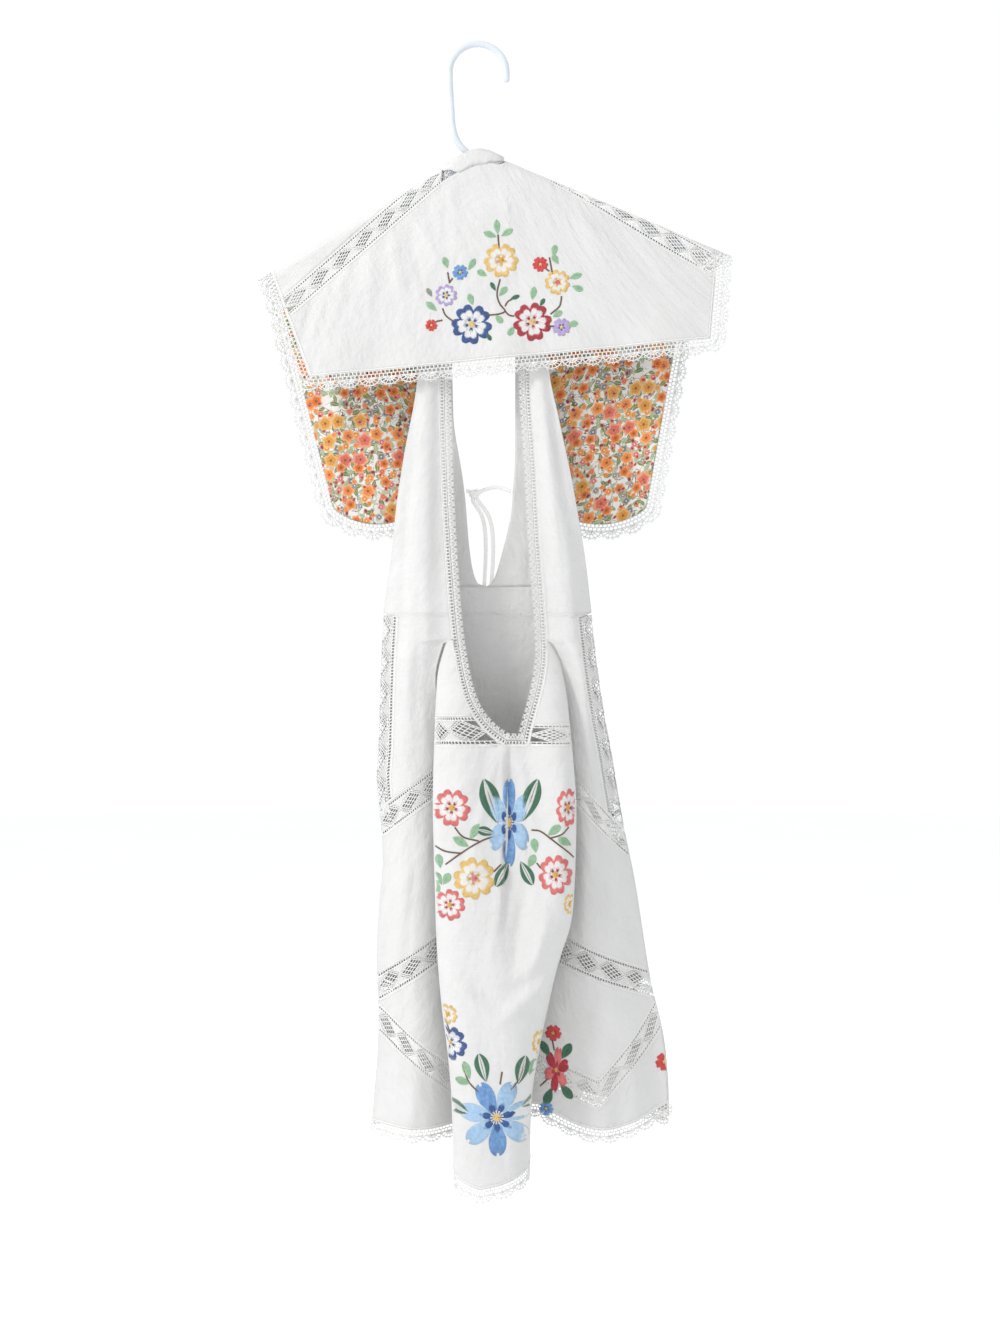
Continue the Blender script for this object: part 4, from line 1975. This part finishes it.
def add_sides():
    for side, word in SIDES.items():
        upper = upper_band(side)
        lower = lower_band(side)
        arms = chevron(side)
        bottom = side_hem(side)
        strap = f"{word}_front_cloth"
        middle = f"{word}_middle_cloth"
        gusset = f"{word}_gusset_cloth"
        hem = f"{word}_hem_cloth"
        at = strap_panel_at(side)
        add_cloth(strap, [f"{word}_front_panel"], at, 44, 190, rests_on=["hanger_moulding"])
        for name, node, top, low, columns, rows, hung_on in (
            (middle, "middle_panel", below(upper, BAND), lower, 36, 56, strap),
            (gusset, "gusset", below(lower, BAND), arms, 36, 30, middle),
            (hem, "hem_panel", below(arms, BAND), bottom, 40, 30, gusset),
        ):
            at = side_piece_at(side, top, low)
            add_cloth(name, [f"{word}_{node}"], at, columns, rows, rests_on=[hung_on])
        at = turned(side_lace_at(side))
        add_insertion(f"{word}_side_net", f"{word}_side_lace", at, side < 0, sewn_to=strap)
        for name, node, top, cloth_name in (
            ("upper_net", "upper_band_lace", upper, middle),
            ("lower_net", "lower_band_lace", lower, gusset),
            ("chevron_net", "chevron_lace", arms, hem),
        ):
            at = side_piece_at(side, top, below(top, BAND))
            add_insertion(f"{word}_{name}", f"{word}_{node}", at, side < 0, sewn_to=cloth_name)
        u = np.linspace(0, 1, 60)
        z = bottom(u)
        x = lerp(side_outer(side, z), side_inner(side, z), u)
        places, normals = surface_frame(lambda a, b: side_point(side, a, b), x, z)
        add_hem(word, sewn_edge(places, normals, -side), hem)


def add_front():
    panel = "front_panel_cloth"
    straps = ["left_front_cloth", "right_front_cloth"]
    add_cloth(panel, ["front_panel"], front_panel_at, 200, 150, rests_on=straps)
    for side, word in SIDES.items():
        bust = BUST_TOP[side]
        name = f"{word}_bodice_cloth"
        at = bodice_at(side, BODICE_TOP, bust)
        add_cloth(name, [f"{word}_bodice"], at, 30, 34, rests_on=[f"{word}_front_cloth"])
        at = bodice_at(side, bust, BUST_LOW)
        add_insertion(f"{word}_bust_net", f"{word}_bust_lace", at, side < 0, sewn_to=name)
    u = np.linspace(0, 1, 200)
    z = front_hem(u)
    turn = lerp(-seam_turn(z), seam_turn(z), u)
    places = front_c(turn, z)
    step = 0.01
    da = front_c(turn + step, z) - front_c(turn - step, z)
    db = front_c(turn, z + 1) - front_c(turn, z - 1)
    add_hem("front", sewn_edge(places, unit(np.cross(da, db)), 1), panel)
    add_trim(front_embroidery(), panel, slot=None)
    add_trim(side_embroidery(), "right_hem_cloth", slot=None)


def add_neckline():
    """One lace round the neckline, sewn from the left shoulder down, across and up the right."""
    top_left = shoulder_top(neck_left(SHOULDER_Z))
    top_right = shoulder_top(neck_right(SHOULDER_Z))
    parts = []
    for side, top, neck in ((-1, top_left, neck_left), (1, top_right, neck_right)):
        z = np.concatenate([np.linspace(top, BODICE_TOP, 150), np.linspace(BODICE_TOP, BUST_LOW, 70)[1:]])
        x = neck(z)
        upper = surface_frame(lambda a, b: side_point(side, a, b), x, z)
        stand = over_top(x, z, point(x, -strap_stand(z), z), True)
        lower = surface_frame(on_front, x, z)
        mix = smooth((BODICE_TOP - z) / 12)[:, None]
        parts.append((lerp(stand, lower[0], mix), unit(lerp(upper[1], lower[1], mix))))
    x = np.linspace(float(neck_left(BUST_LOW)), float(neck_right(BUST_LOW)), 24)[1:-1]
    across = surface_frame(on_front, x, np.full(len(x), BUST_LOW))
    left, right = parts
    places = np.concatenate([left[0], across[0], right[0][::-1]])
    normals = np.concatenate([left[1], across[1], right[1][::-1]])
    edge = sewn_edge(places, normals, -1, blur=5)
    run, p = edge[0], edge[1]
    lower = run[p[:, 2] < BODICE_TOP]
    for name, node, span, cloth_name in (
        ("left_strap_picots", "left_strap_lace", (0.0, lower[0]), "left_front_cloth"),
        ("front_neckline_picots", "front_neckline_lace", (lower[0], lower[-1]), "front_panel_cloth"),
        ("right_strap_picots", "right_strap_lace", (lower[-1], run[-1]), "right_front_cloth"),
    ):
        lace = edge_lace(name, edge, span, picot_tile, PICOT_PITCH, NECKLINE_LACE)
        add_trim(lace, cloth_name, [node])
        hem_stitches(name.replace("_picots", "_hem"), edge, span, 2.0, sewn_to=cloth_name)


def add_back():
    low = back_piece_at(lambda u: SCOOP_LOW + 0 * u, back_upper, SIDE_LACE_BACK)
    straps = ["left_back_strap", "right_back_strap"]
    add_cloth("back_upper_cloth", ["back_panel"], low, 100, 64, rests_on=straps)
    for side, word in SIDES.items():
        add_cloth(f"{word}_back_strap", [], back_strap_at(side), 26, 130, rests_on=["hanger_moulding"])
    middle = back_piece_at(below(back_upper, BAND), back_lower)
    add_cloth("back_middle_cloth", ["back_middle_panel"], middle, 110, 40, rests_on=["back_upper_cloth"])
    hem = back_piece_at(below(back_lower, BAND), back_hem)
    add_cloth("back_hem_cloth", ["back_hem_panel"], hem, 110, 30, rests_on=["back_middle_cloth"])
    for name, node, top, cloth_name in (
        ("back_upper_net", "back_upper_band_lace", back_upper, "back_middle_cloth"),
        ("back_lower_net", "back_lower_band_lace", back_lower, "back_hem_cloth"),
    ):
        add_insertion(name, node, back_piece_at(top, below(top, BAND)), sewn_to=cloth_name)
    u = np.linspace(0, 1, 160)
    z = back_hem(u)
    x = lerp(left_side(z), right_side(z), u)
    places, normals = surface_frame(back_point, x, z)
    add_hem("back", sewn_edge(places, -normals, -1), "back_hem_cloth")
    add_trim(back_embroidery(), "back_upper_cloth", slot=None)


# ------------------------------------------------------------------ stage
FLOOR_BELOW = 190  # how far under the dress the floor is
FLOOR_RADIUS = 9000


def add_stage():
    floor_z = CAD_BOX[0][2] / MM - FLOOR_BELOW
    a = np.linspace(0, 2 * math.pi, 64, endpoint=False)
    rim = point(FLOOR_RADIUS * np.cos(a), FLOOR_RADIUS * np.sin(a), floor_z)
    floor = make_object("floor", rim, [list(range(len(a)))], [floor_material()])


def add_light(name, kind, place, aim, energy, size):
    data = bpy.data.lights.new(name, kind)
    data.energy = energy
    data.shape = "DISK"
    data.size = size
    light = link(name, data)
    light.location = place
    way = np.array(aim) - np.array(place)
    light.rotation_euler = (math.atan2(math.hypot(way[0], way[1]), -way[2]), 0, math.atan2(-way[0], way[1]))


def add_lights():
    world = bpy.data.worlds.new("studio")
    world.use_nodes = True
    background = world.node_tree.nodes["Background"]
    background.inputs["Color"].default_value = (0.975, 0.99, 1, 1)
    background.inputs["Strength"].default_value = 1.03
    bpy.context.scene.world = world
    aim = (0.02, 0, -0.55)
    add_light("key", "AREA", (-1.9, -1.3, 0.9), aim, 40, 0.6)
    add_light("fill", "AREA", (2.0, -2.2, -0.2), aim, 1.0, 1.6)
    add_light("rim", "AREA", (0.6, 2.4, 0.9), aim, 10, 1.4)


add_ties()
add_cape()
add_sides()
add_front()
add_neckline()
add_back()
add_stage()
add_lights()
bpy.context.scene.view_settings.view_transform = "Standard"

bpy.context.view_layer.update()
